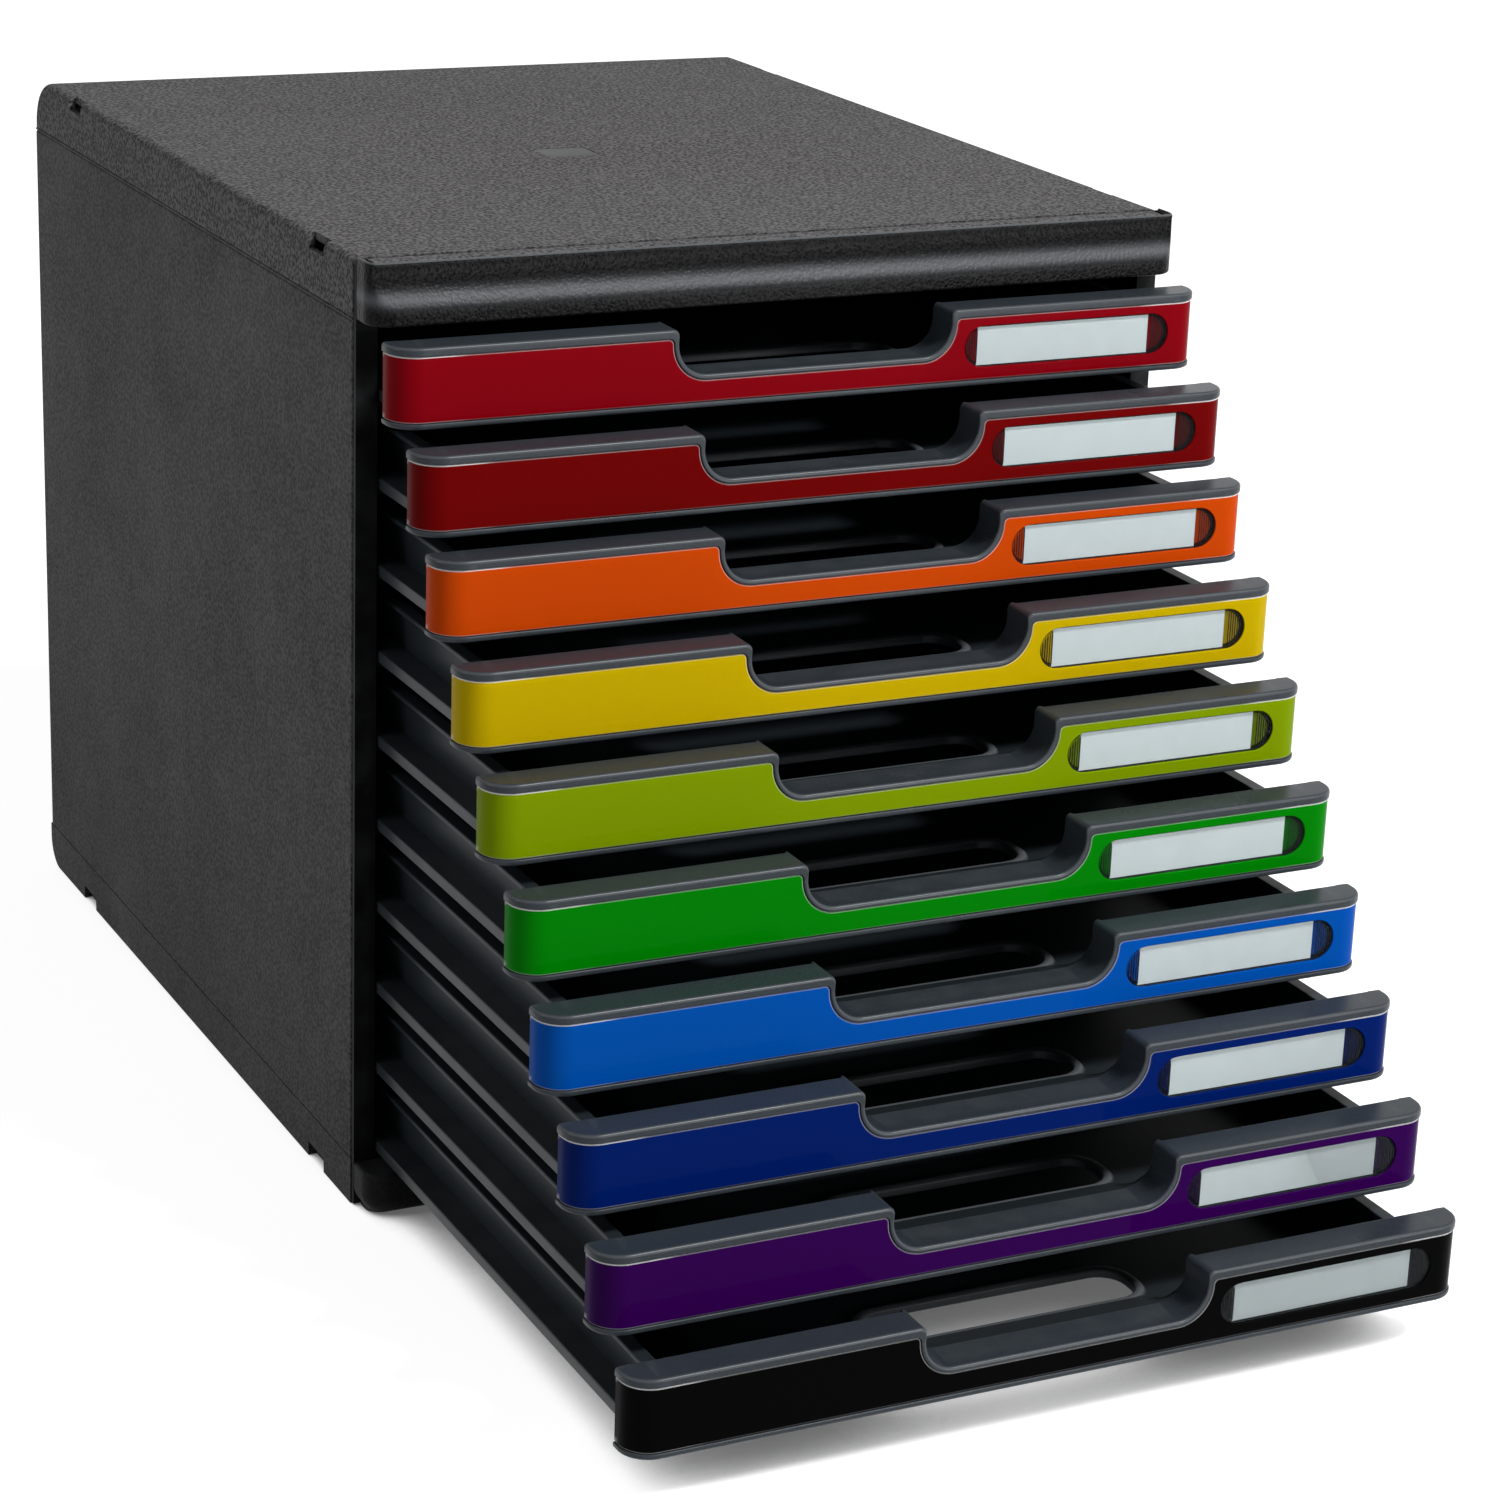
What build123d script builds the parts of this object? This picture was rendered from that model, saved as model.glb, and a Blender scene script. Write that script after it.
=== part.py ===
from build123d import *
import math
import os

# Ten-drawer desk box: a black moulded case with ten shallow trays, each with a coloured front.
# X is to the right, the drawers pull out towards -Y and Z is up. The origin is the centre of the
# case's underside, and all sizes are in millimetres.

# Overall sizes of the case
case_width = 288.0
case_depth = 350.0
base_height = 16.0
lid_height = 18.5
panel_wall = 2.5

# The stack of drawers, with how far each one stands open at rest, counted from the top
drawer_pitch = 28.3
stack_clearance = 0.5
lowest_front_gap = 0.3
front_opening = [17.3, 38.4, 54.7, 76.1, 96.9, 119.6, 140.0, 162.1, 183.5, 206.4]
drawer_travel = 250.0

# Drawer front: grey bezel with a coloured cover let into it
front_gap = 2.8
front_depth = 11.5
closing_gap = 2.5
front_setback = 1.7
front_corner_radius = 9.2
lip_proud = 0.4
bottom_lip = 1.8
top_lip = 2.8
lip_plate = 2.0
lip_round = 1.1
cover_thickness = 2.6
bezel_skin = 1.5
fit_gap = 0.1

# Finger recess in the middle of each front
recess_half_width = 50.0
recess_height = 13.7
recess_corner_radius = 11.6
recess_top_radius = 2.0
recess_lip = 1.75
recess_depth = 13.3

# Label pocket, its clear window and the paper card behind it
label_end_margin = 12.3
label_recess_gap = 3.5
label_rise = 0.5
label_edge_margin = 3.7
pocket_depth = 1.8
window_thickness = 1.0
window_setback = 0.2
window_rib_count = 8
window_rib_pitch = 0.62
window_rib_width = 0.3
window_rib_height = 0.15
window_rib_margin = 1.0
card_end_gap = 6.15
card_height_gap = 0.9
card_thickness = 0.3
card_offset_x = -0.95
card_offset_z = -0.15

# Tray behind the front
tray_setback = 15.8
tray_rear_clearance = 6.2
tray_wall = 2.0
tray_floor = 2.0
tray_bottom = 1.5
tray_rim_drop = 5.3
tray_lean = 1.0
tray_corner_radius = 9.0
rim_thickness = 1.6
rim_overhang = 3.0
rim_round = 0.7
flange_width = 9.1
flange_thickness = 4.0
flange_root = 1.0
lug_height = 1.4
lug_width = 2.4
lug_length = 8.0

# Push-out slot in the tray floor and the ramp from the recess down to it
slot_near = 31.4
slot_far = 51.0
slot_end_inset = 4.3
slot_corner_radius = 8.0
bead_width = 3.6
bead_height = 1.1
ramp_inset = 1.7
ramp_end_height = 0.5

# Runner racks inside the side panels
runner_side_gap = 0.8
runner_lift = 0.3
hold_down_gap = 0.5
rack_web = 1.8
ledge_thickness = 1.4
ledge_overlap = 7.1
guard_thickness = 1.3
guard_overlap = 3.1
stop_gap = 0.3
rear_post_gap = 0.6
rear_post_depth = 3.0

# Front frame, cornice and base trim
frame_thickness = 1.8
frame_inset = 0.4
frame_seam = 0.2
trim_side_setback = 0.5
trim_corner_radius = 7.5
trim_wall = 2.4
cornice_drop = 0.5
cornice_rise = 1.5
cornice_belly_height = 7.8
cornice_cove_height = 14.3
cornice_cove_depth = 0.8
cornice_foot_inset = 1.2
cornice_foot_round = 0.8
cornice_top_round = 1.2
base_trim_gap = 0.4
base_trim_round = 7.0

# Lid, base and back panel
lid_rear_radius = 17.5
base_rear_radius = 11.0
edge_round = 3.0
rib_thickness = 1.6
rib_depth = 6.0
rib_count = 4
back_inset = 1.3
notch_front = 28.0
notch_rear = 46.0
notch_length = 15.0
notch_height = 5.0
notch_width = 3.0

# Bare plate on top of the lid
plate_centre_x = -8.5
plate_centre_y = 151.5
plate_width = 19.0
plate_length = 16.0
plate_thickness = 0.8
plate_sink = 0.1

# Places worked out from the sizes above, then how far a cut runs past what it cuts
drawer_count = len(front_opening)
front_height = drawer_pitch - front_gap
tray_rim_height = front_height - tray_rim_drop
seat_top = front_height - top_lip
recess_bottom = seat_top - recess_height
trim_reach = front_depth + closing_gap
half_width = case_width / 2
front_y = -case_depth / 2
rear_y = case_depth / 2
stack_height = drawer_count * drawer_pitch + stack_clearance
side_top = base_height + stack_height
case_height = side_top + lid_height
shell_front_y = front_y + frame_thickness + 2 * frame_seam
back_rear_y = rear_y - back_inset
inner_half_width = half_width - panel_wall
cover_half_width = half_width - front_setback
seat_depth = cover_thickness + fit_gap
label_height = seat_top - bottom_lip - 2 * label_edge_margin
label_width = cover_half_width - recess_half_width - label_end_margin - label_recess_gap
label_centre_x = cover_half_width - label_end_margin - label_width / 2
label_centre_z = (bottom_lip + seat_top) / 2 + label_rise
card_width = label_width - 2 * card_end_gap
card_height = label_height - card_height_gap
slot_half_length = recess_half_width - slot_end_inset
ramp_half_width = slot_half_length - ramp_inset
tray_length = trim_reach + case_depth - back_inset - panel_wall - tray_rear_clearance
tray_half_width = cover_half_width - tray_setback
flange_half_width = tray_half_width + flange_width
flange_top = tray_bottom + flange_thickness
floor_top = tray_bottom + tray_floor
rack_inner = flange_half_width + runner_side_gap
closed_front_y = front_y - trim_reach
lean_angle = math.degrees(math.atan(tray_lean / (tray_rim_height - tray_bottom)))
lug_front = tray_length - lug_length
overshoot = 1.0
tiny = 0.01


def at(value, level):
    """Whether a coordinate lies at the given level."""
    return abs(value - level) < tiny


def block(x0, x1, y0, y1, z0, z1):
    """A box between two opposite corners."""
    middle = Pos((x0 + x1) / 2, (y0 + y1) / 2, (z0 + z1) / 2)
    return middle * Box(x1 - x0, y1 - y0, z1 - z0)


def upright(sketch, y_from, y_to):
    """Extrude a sketch drawn as (x, z) backwards from y_from to y_to."""
    plane = Plane(origin=(0, y_from, 0), x_dir=(1, 0, 0), z_dir=(0, -1, 0))
    return extrude(plane * sketch, -(y_to - y_from))


def both_sides(part):
    """The part and its mirror image on the other side of the middle."""
    return part + mirror(part, Plane.YZ)


def front_bottom_z(number):
    """Height of the underside of one drawer front, number 1 being the top drawer."""
    return base_height + lowest_front_gap + (drawer_count - number) * drawer_pitch


def drawer_place(number):
    """Where one drawer stands at rest, partly pulled out."""
    return Pos(0, closed_front_y - front_opening[number - 1], front_bottom_z(number))


def front_plan(inset, back):
    """Plan of a drawer front, set in from the colour face, with its back edge at the given depth."""
    half = cover_half_width - inset
    outline = Pos(0, (inset + back) / 2) * Rectangle(2 * half, back - inset)
    corners = outline.vertices().sort_by(Axis.Y)[:2]
    return fillet(corners, front_corner_radius - inset)


def recess_outline(grow, top):
    """Finger recess seen from the front, its edge moved outwards by the given amount."""
    half = recess_half_width + grow
    low = recess_bottom - grow
    wide = half + 2 * recess_top_radius
    high = top + front_height
    points = [(-wide, high), (-wide, top), (-half, top), (-half, low)]
    points += [(half, low), (half, top), (wide, top), (wide, high)]
    outline = make_face(Polyline(*points, close=True))
    lower = [v for v in outline.vertices() if at(v.Y, low)]
    outline = fillet(lower, recess_corner_radius + grow)
    shoulders = [v for v in outline.vertices() if at(v.Y, top) and at(abs(v.X), half)]
    return fillet(shoulders, recess_top_radius)


def bezel_block():
    """Outside of the grey bezel, with both lips standing just proud of the colour face."""
    bezel = extrude(front_plan(-lip_proud, front_depth), front_height)
    rims = [e for e in bezel.edges() if at(e.center().Z, 0) or at(e.center().Z, front_height)]
    outer = [e for e in rims if e.center().Y < front_depth - tiny]
    return fillet(outer, lip_round)


def cover_seat():
    """Band round the bezel where the coloured cover sits."""
    band = front_plan(-2 * lip_proud, front_depth + overshoot)
    band -= front_plan(seat_depth, front_depth + 2 * overshoot)
    ring = Pos(0, 0, bottom_lip) * extrude(band, seat_top - bottom_lip)
    opening = recess_outline(0, seat_top)
    return ring - upright(opening, -front_depth, 2 * front_depth)


def bezel_hollow():
    """Space inside the bezel, open below, that leaves a plate under the lips and the recess."""
    inner = front_plan(seat_depth + bezel_skin, front_depth + overshoot)
    space = Pos(0, 0, -overshoot) * extrude(inner, front_height - lip_plate + overshoot)
    plate = recess_outline(lip_plate - recess_lip, front_height)
    space -= upright(plate, -front_depth, 2 * front_depth)
    keep = tray_half_width + tray_lean
    kept = block(-keep, keep, front_depth - tray_wall, 2 * front_depth, -2 * overshoot, front_height)
    return space - kept


def tray_plan(half, front, rear, radius):
    """Rounded plan of the tray between its front and rear."""
    return Pos(0, (front + rear) / 2) * RectangleRounded(2 * half, rear - front, radius)


def tray_outside():
    """Leaning walls of the tray with the rolled rim, the runner flanges and the end lugs."""
    front = front_depth - tray_wall
    low_rear = tray_length - tray_lean - rim_overhang
    walls = tray_plan(tray_half_width, front + tray_lean, low_rear, tray_corner_radius)
    body = Pos(0, 0, tray_bottom) * extrude(walls, tray_rim_height - tray_bottom, taper=-lean_angle)
    rim_half = tray_half_width + tray_lean + rim_overhang
    rim = extrude(tray_plan(rim_half, front, tray_length, tray_corner_radius + rim_overhang), rim_thickness)
    rim = fillet(rim.faces().sort_by(Axis.Z)[-1].edges(), rim_round)
    body += Pos(0, 0, tray_rim_height - rim_thickness) * rim
    apron_top = front_height - lip_plate / 2
    body += block(-tray_half_width, tray_half_width, front, front_depth, tray_bottom, apron_top)
    flange_inner = tray_half_width - flange_root
    flange = block(flange_inner, flange_half_width, front, tray_length, tray_bottom, flange_top)
    lug_inner = flange_half_width - lug_width
    flange += block(lug_inner, flange_half_width, lug_front, tray_length, flange_top, flange_top + lug_height)
    return body + both_sides(flange)


def tray_inside():
    """Space inside the tray above its floor."""
    half = tray_half_width - tray_wall
    rear = tray_length - tray_lean - rim_overhang - tray_wall
    plan = tray_plan(half, front_depth + tray_lean, rear, tray_corner_radius - tray_wall)
    return Pos(0, 0, floor_top) * extrude(plan, front_height, taper=-lean_angle)


def slot_plan(grow):
    """Plan of the push-out slot, its edge moved outwards by the given amount."""
    half = slot_half_length + grow
    length = slot_far - slot_near + 2 * grow
    centre = Pos(0, (slot_near + slot_far) / 2)
    return centre * RectangleRounded(2 * half, length, slot_corner_radius + grow)


def ramp():
    """Sloping plate from the back of the recess lip down to the near edge of the slot."""
    lip_z = recess_bottom + recess_lip
    end_z = floor_top + ramp_end_height
    start = front_depth - tray_wall
    outside = [(start, tray_bottom), (slot_near, tray_bottom), (slot_near, end_z)]
    outside += [(recess_depth, lip_z), (start, lip_z)]
    low = tray_bottom - overshoot
    inner_end = slot_near - bead_width
    inside = [(front_depth, low), (inner_end, low), (inner_end, tray_bottom)]
    inside += [(recess_depth, lip_z - lip_plate), (front_depth, lip_z - lip_plate)]
    half = ramp_half_width
    wedge = extrude(Plane.YZ.offset(-half) * make_face(Polyline(*outside, close=True)), 2 * half)
    half = ramp_half_width - tray_wall
    hollow = extrude(Plane.YZ.offset(-half) * make_face(Polyline(*inside, close=True)), 2 * half)
    return wedge, hollow


def make_tray():
    """Grey tray moulded in one piece with its bezel, in the drawer's own frame."""
    wedge, hollow = ramp()
    shell = bezel_block() - cover_seat() - bezel_hollow()
    shell += tray_outside()
    shell -= tray_inside()
    shell += Pos(0, 0, tray_bottom) * extrude(slot_plan(bead_width), tray_floor + bead_height)
    shell += wedge
    shell -= hollow
    shell -= extrude(slot_plan(0), front_height)
    mouth = recess_outline(-recess_lip, front_height)
    return shell - upright(mouth, -front_depth, recess_depth)


def make_cover():
    """Coloured cover wrapped round the bezel, with the pocket for the label."""
    band = front_plan(0, front_depth - fit_gap) - front_plan(cover_thickness, front_depth + overshoot)
    ring = Pos(0, 0, bottom_lip + fit_gap) * extrude(band, seat_top - bottom_lip - 2 * fit_gap)
    ring -= upright(recess_outline(fit_gap, seat_top), -front_depth, 2 * front_depth)
    pocket = Pos(label_centre_x, label_centre_z) * SlotOverall(label_width, label_height)
    return ring - upright(pocket, -front_depth, pocket_depth)


def make_window():
    """Clear window over the label, with fine grip ribs at both ends."""
    shape = SlotOverall(label_width - 2 * fit_gap, label_height - 2 * fit_gap)
    front = window_setback
    window = upright(Pos(label_centre_x, label_centre_z) * shape, front, front + window_thickness)
    end_radius = label_height / 2 - 2 * fit_gap
    end_centre = (label_width - label_height) / 2
    for rib in range(window_rib_count):
        offset = label_width / 2 - window_rib_margin - rib * window_rib_pitch
        past_end_centre = max(offset + window_rib_width / 2 - end_centre, 0)
        reach = math.sqrt(end_radius ** 2 - past_end_centre ** 2)
        for side in (-1, 1):
            x0 = label_centre_x + side * offset - window_rib_width / 2
            window += block(x0, x0 + window_rib_width, front - window_rib_height, front,
                            label_centre_z - reach, label_centre_z + reach)
    return window


def make_card():
    """Paper card lying in the pocket behind the window."""
    x = label_centre_x + card_offset_x
    z = label_centre_z + card_offset_z
    back = pocket_depth - fit_gap / 2
    return block(x - card_width / 2, x + card_width / 2, back - card_thickness, back,
                 z - card_height / 2, z + card_height / 2)


def make_rack():
    """Right-hand runner rack: a standing web with a ledge and a guard for every drawer."""
    front = shell_front_y
    web_rear = back_rear_y - panel_wall
    rack = block(rack_inner, rack_inner + rack_web, front, web_rear, base_height, side_top)
    edge_top = block(rack_inner, inner_half_width, front, web_rear, side_top - rack_web, side_top)
    edge_bottom = block(rack_inner, inner_half_width, front, web_rear, base_height, base_height + rack_web)
    edge_front = block(rack_inner, inner_half_width, front, front + rack_web, base_height, side_top)
    edge_rear = block(rack_inner, inner_half_width, web_rear - rack_web, web_rear, base_height, side_top)
    rack += [edge_top, edge_bottom, edge_front, edge_rear]
    post_front = closed_front_y + tray_length + rear_post_gap
    ledge_inner = flange_half_width - ledge_overlap
    rack += block(ledge_inner, rack_inner, post_front, post_front + rear_post_depth, base_height, side_top)
    guard_inner = flange_half_width - guard_overlap
    guard_end = closed_front_y + lug_front - drawer_travel - stop_gap
    for number in range(1, drawer_count + 1):
        ledge_top = front_bottom_z(number) + tray_bottom - runner_lift
        rack += block(ledge_inner, rack_inner, front, post_front, ledge_top - ledge_thickness, ledge_top)
        guard_low = front_bottom_z(number) + flange_top + hold_down_gap
        rack += block(guard_inner, rack_inner, front, guard_end, guard_low, guard_low + guard_thickness)
    return rack


def notches(z0, z1):
    """Four cuts in the long edges that locate one box on another."""
    cuts = Part()
    for start in (front_y + notch_front, rear_y - notch_rear - notch_length):
        cuts += block(half_width - notch_width, half_width + overshoot, start, start + notch_length, z0, z1)
    return both_sides(cuts)


def ribs(z0, z1, half):
    """Crosswise stiffening ribs, evenly spaced along the depth."""
    inside = rear_y - shell_front_y - 2 * lid_rear_radius
    group = []
    for index in range(rib_count):
        y = shell_front_y + lid_rear_radius + inside * (index + 0.5) / rib_count
        group.append(block(-half, half, y - rib_thickness / 2, y + rib_thickness / 2, z0, z1))
    return group


def make_lid():
    """Hollow lid with a rounded rear edge, stacking notches and a shallow seat for the plate."""
    lid = block(-half_width, half_width, shell_front_y, rear_y, side_top, case_height)
    rear_top = lid.edges().filter_by(Axis.X).sort_by(lambda e: e.center().Y + e.center().Z)[-1]
    lid = fillet(rear_top, lid_rear_radius)
    sides = [e for e in lid.edges().filter_by(Axis.Y) if at(e.center().Z, case_height)]
    lid = fillet(sides, edge_round)
    hollow = block(-inner_half_width, inner_half_width, shell_front_y + panel_wall, rear_y - panel_wall,
                   side_top - overshoot, case_height - panel_wall)
    rear_top = hollow.edges().filter_by(Axis.X).sort_by(lambda e: e.center().Y + e.center().Z)[-1]
    lid -= fillet(rear_top, lid_rear_radius - panel_wall)
    lid += ribs(case_height - panel_wall - rib_depth, case_height - panel_wall, inner_half_width)
    lid -= notches(case_height - notch_height, case_height + overshoot)
    seat_low = case_height - plate_thickness - plate_sink
    return lid - plate_block(fit_gap, seat_low, case_height + overshoot)


def plate_block(grow, z0, z1):
    """Block over the place of the bare plate."""
    y = front_y + plate_centre_y
    half_x = plate_width / 2 + grow
    half_y = plate_length / 2 + grow
    return block(plate_centre_x - half_x, plate_centre_x + half_x, y - half_y, y + half_y, z0, z1)


def make_plate():
    """Bare plate in its shallow seat on the lid."""
    top = case_height - plate_sink
    return plate_block(0, top - plate_thickness, top)


def make_base():
    """Base with a closed underside, walls under the side panels and beams under the racks."""
    base = block(-half_width, half_width, shell_front_y, rear_y, 0, base_height)
    rear_low = base.edges().filter_by(Axis.X).sort_by(lambda e: e.center().Y - e.center().Z)[-1]
    base = fillet(rear_low, base_rear_radius)
    hollow = block(-inner_half_width, inner_half_width, shell_front_y + panel_wall, rear_y - panel_wall,
                   panel_wall, base_height + overshoot)
    rear_low = hollow.edges().filter_by(Axis.X).sort_by(lambda e: e.center().Y - e.center().Z)[-1]
    base -= fillet(rear_low, base_rear_radius - panel_wall)
    beam_rear = rear_y - base_rear_radius
    beam = block(rack_inner, rack_inner + rack_web, shell_front_y, beam_rear, panel_wall, base_height)
    base += both_sides(beam)
    base += ribs(panel_wall, panel_wall + rib_depth, rack_inner)
    return base - notches(-overshoot, notch_height)


def make_side_panel():
    """Right-hand side panel standing on the base's wall."""
    return block(inner_half_width, half_width, shell_front_y, back_rear_y, base_height, side_top)


def make_back_panel():
    """Back panel between the side panels."""
    back_front_y = back_rear_y - panel_wall
    return block(-inner_half_width, inner_half_width, back_front_y, back_rear_y, base_height, side_top)


def make_front_frame():
    """Thin frame round the drawer opening, seen as a fine strip behind the trims."""
    half = half_width - frame_inset
    low = frame_inset
    high = case_height - frame_inset
    y0 = front_y + frame_seam
    y1 = y0 + frame_thickness
    frame = block(-half, half, y0, y1, low, high)
    return frame - block(-rack_inner, rack_inner, y0 - overshoot, y1 + overshoot, base_height, side_top)


def trim_bar(profile):
    """Carry a trim profile round the front: sides, round corners and a straight middle.

    The profile is drawn as (reach, z), with reach counted outwards from the corner's centre.
    """
    corner_x = half_width - trim_side_setback - trim_corner_radius
    corner_y = front_y - trim_reach + trim_corner_radius
    straight_plane = Plane(origin=(corner_x, corner_y, 0), x_dir=(0, -1, 0), z_dir=(-1, 0, 0))
    bar = extrude(straight_plane * profile, 2 * corner_x)
    side_plane = Plane(origin=(corner_x, corner_y, 0), x_dir=(1, 0, 0), z_dir=(0, -1, 0))
    side = extrude(side_plane * profile, -(front_y - corner_y))
    turn = revolve(side_plane * profile, Axis((corner_x, corner_y, 0), (0, 0, 1)), -90)
    box = profile.bounding_box()
    middle = block(-corner_x, corner_x, corner_y, front_y, box.min.Y, box.max.Y)
    return bar + both_sides(side + turn) + middle


def trim_hollow(z0, z1):
    """Space inside a trim, open towards the case."""
    half = half_width - trim_side_setback - trim_wall
    front = front_y - trim_reach + trim_wall
    rear = front_y + overshoot
    plan = Pos(0, (front + rear) / 2) * Rectangle(2 * half, rear - front)
    plan = fillet(plan.vertices().sort_by(Axis.Y)[:2], trim_corner_radius - trim_wall)
    return Pos(0, 0, z0) * extrude(plan, z1 - z0)


def make_cornice():
    """Cornice above the drawers: a rounded belly below a shallow cove and a rounded top edge."""
    low = side_top - cornice_drop
    high = case_height + cornice_rise
    foot = trim_corner_radius - cornice_foot_inset
    belly = (trim_corner_radius, low + cornice_belly_height)
    cove = (trim_corner_radius - cornice_cove_depth, low + cornice_cove_height)
    brow = trim_corner_radius - cornice_cove_depth / 2
    foot_top = (foot + cornice_foot_round, low + cornice_foot_round)
    brow_low = (brow, high - cornice_top_round)
    outline = [
        Line((0, low), (foot, low)),
        RadiusArc((foot, low), foot_top, -cornice_foot_round),
        Spline(foot_top, belly, cove, brow_low, tangents=[(0, 1), (0, 1)]),
        RadiusArc(brow_low, (brow - cornice_top_round, high), -cornice_top_round),
        Line((brow - cornice_top_round, high), (0, high)),
        Line((0, high), (0, low)),
    ]
    profile = make_face(Curve() + outline)
    return trim_bar(profile) - trim_hollow(low + trim_wall, high - trim_wall)


def make_base_trim():
    """Trim below the drawers, rounded under its front edge."""
    high = base_height - base_trim_gap
    reach = trim_corner_radius
    outline = Pos(reach / 2, high / 2) * Rectangle(reach, high)
    upper = [v for v in outline.vertices() if at(v.X, reach) and at(v.Y, high)]
    outline = fillet(upper, lip_round)
    lower = [v for v in outline.vertices() if at(v.X, reach) and at(v.Y, 0)]
    outline = fillet(lower, base_trim_round)
    return trim_bar(outline) - trim_hollow(trim_wall, high - trim_wall)


def save(name, shape):
    """Write one piece under its own name."""
    shape.label = name
    export_step(shape, os.path.join("parts", name + ".step"))


def main():
    """Build every piece of the box and write it in its place."""
    os.makedirs("parts", exist_ok=True)
    rack = make_rack()
    side = make_side_panel()
    save("lid_panel", make_lid())
    save("base_panel", make_base())
    save("back_panel", make_back_panel())
    save("side_panel_right", side)
    save("side_panel_left", mirror(side, Plane.YZ))
    save("runner_rack_right", rack)
    save("runner_rack_left", mirror(rack, Plane.YZ))
    save("front_frame", make_front_frame())
    save("cornice", make_cornice())
    save("base_trim", make_base_trim())
    save("lid_plate", make_plate())
    drawer_pieces = {"tray": make_tray(), "front_cover": make_cover(),
                     "label_window": make_window(), "label_card": make_card()}
    for number in range(1, drawer_count + 1):
        for piece, shape in drawer_pieces.items():
            save(f"drawer_{number:02d}_{piece}", drawer_place(number) * shape)


main()
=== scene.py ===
"""Ten-drawer desk box: a black moulded case and ten grey trays with coloured fronts.

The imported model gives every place. The drawers, the side panels, the trims and all finishes are
made here. Lengths in the classes of the box are in millimetres, and a mesh is brought to metres when
it is built. The studio is in metres.
"""

import logging
import math
from dataclasses import dataclass, field
from enum import Enum

import bmesh
import bpy
import numpy as np
from mathutils import Matrix, Vector


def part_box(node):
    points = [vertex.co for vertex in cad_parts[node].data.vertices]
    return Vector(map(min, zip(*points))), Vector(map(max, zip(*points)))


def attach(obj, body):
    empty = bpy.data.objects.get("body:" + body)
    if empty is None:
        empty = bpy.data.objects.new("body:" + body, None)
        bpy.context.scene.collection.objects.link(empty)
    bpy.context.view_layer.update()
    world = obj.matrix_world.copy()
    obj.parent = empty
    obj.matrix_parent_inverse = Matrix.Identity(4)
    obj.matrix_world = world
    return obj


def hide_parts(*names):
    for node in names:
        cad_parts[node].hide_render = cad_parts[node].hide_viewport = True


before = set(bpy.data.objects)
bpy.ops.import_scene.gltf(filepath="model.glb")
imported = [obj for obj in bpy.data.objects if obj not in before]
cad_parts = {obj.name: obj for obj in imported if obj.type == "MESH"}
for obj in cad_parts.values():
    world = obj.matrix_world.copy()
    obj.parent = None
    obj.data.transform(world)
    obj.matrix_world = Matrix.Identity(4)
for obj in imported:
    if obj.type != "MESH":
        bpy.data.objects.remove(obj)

log = logging.getLogger("drawer_box")

METRE = 0.001  # one millimetre in metres
MERGE_DISTANCE = 1e-6
SHARP_ANGLE = math.radians(38)
FLAT_FACE_WEIGHT = 90
HAIR = 1e-6
QUARTER = math.pi / 2
FRONT_BACK = 11.7

Colour = tuple[float, float, float, float]
Point = tuple[float, float, float]
WHITE = (1.0, 1.0, 1.0, 1.0)


class Side(Enum):
    """Left and right of the box, seen from the front."""

    LEFT = -1
    RIGHT = 1


class Grain(Enum):
    """How a moulded surface is textured: size of the grain in millimetres and its depth."""

    POLISHED = (9.0, 0.02)
    SATIN = (0.8, 0.03)
    FINE = (1.3, 0.25)
    LEATHER = (1.1, 0.3)


def srgb(red: float, green: float, blue: float) -> Colour:
    """Linear colour for a colour written as 0 to 255 per channel.

    Args:
        red: red channel.
        green: green channel.
        blue: blue channel.

    Returns:
        The colour, by the standard curve from screen values to light, with full opacity.
    """
    parts = np.array([red, green, blue]) / 255
    linear = np.where(parts <= 0.04045, parts / 12.92, ((parts + 0.055) / 1.055) ** 2.4)
    return (*linear.tolist(), 1.0)


def round_over(radius: float, steps: int) -> tuple[np.ndarray, np.ndarray]:
    """Rounded edge as two arrays: the inset from the side wall and the depth below the face.

    The inset is the radius times one minus the sine of an angle, and the depth is the radius times
    one minus its cosine, while the angle runs over a quarter turn.

    Args:
        radius: radius of the edge.
        steps: number of parts the quarter turn is cut into.

    Returns:
        Insets and depths, from the face to the side wall.
    """
    angle = np.linspace(0, QUARTER, steps + 1)
    return radius * (1 - np.sin(angle)), radius * (1 - np.cos(angle))


def quarter_turns(steps: int) -> np.ndarray:
    """Angles of four quarter turns one after the other, each with both its ends."""
    start = np.arange(4) * QUARTER
    return np.linspace(start, start + QUARTER, steps + 1, axis=1).reshape(-1)


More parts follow.
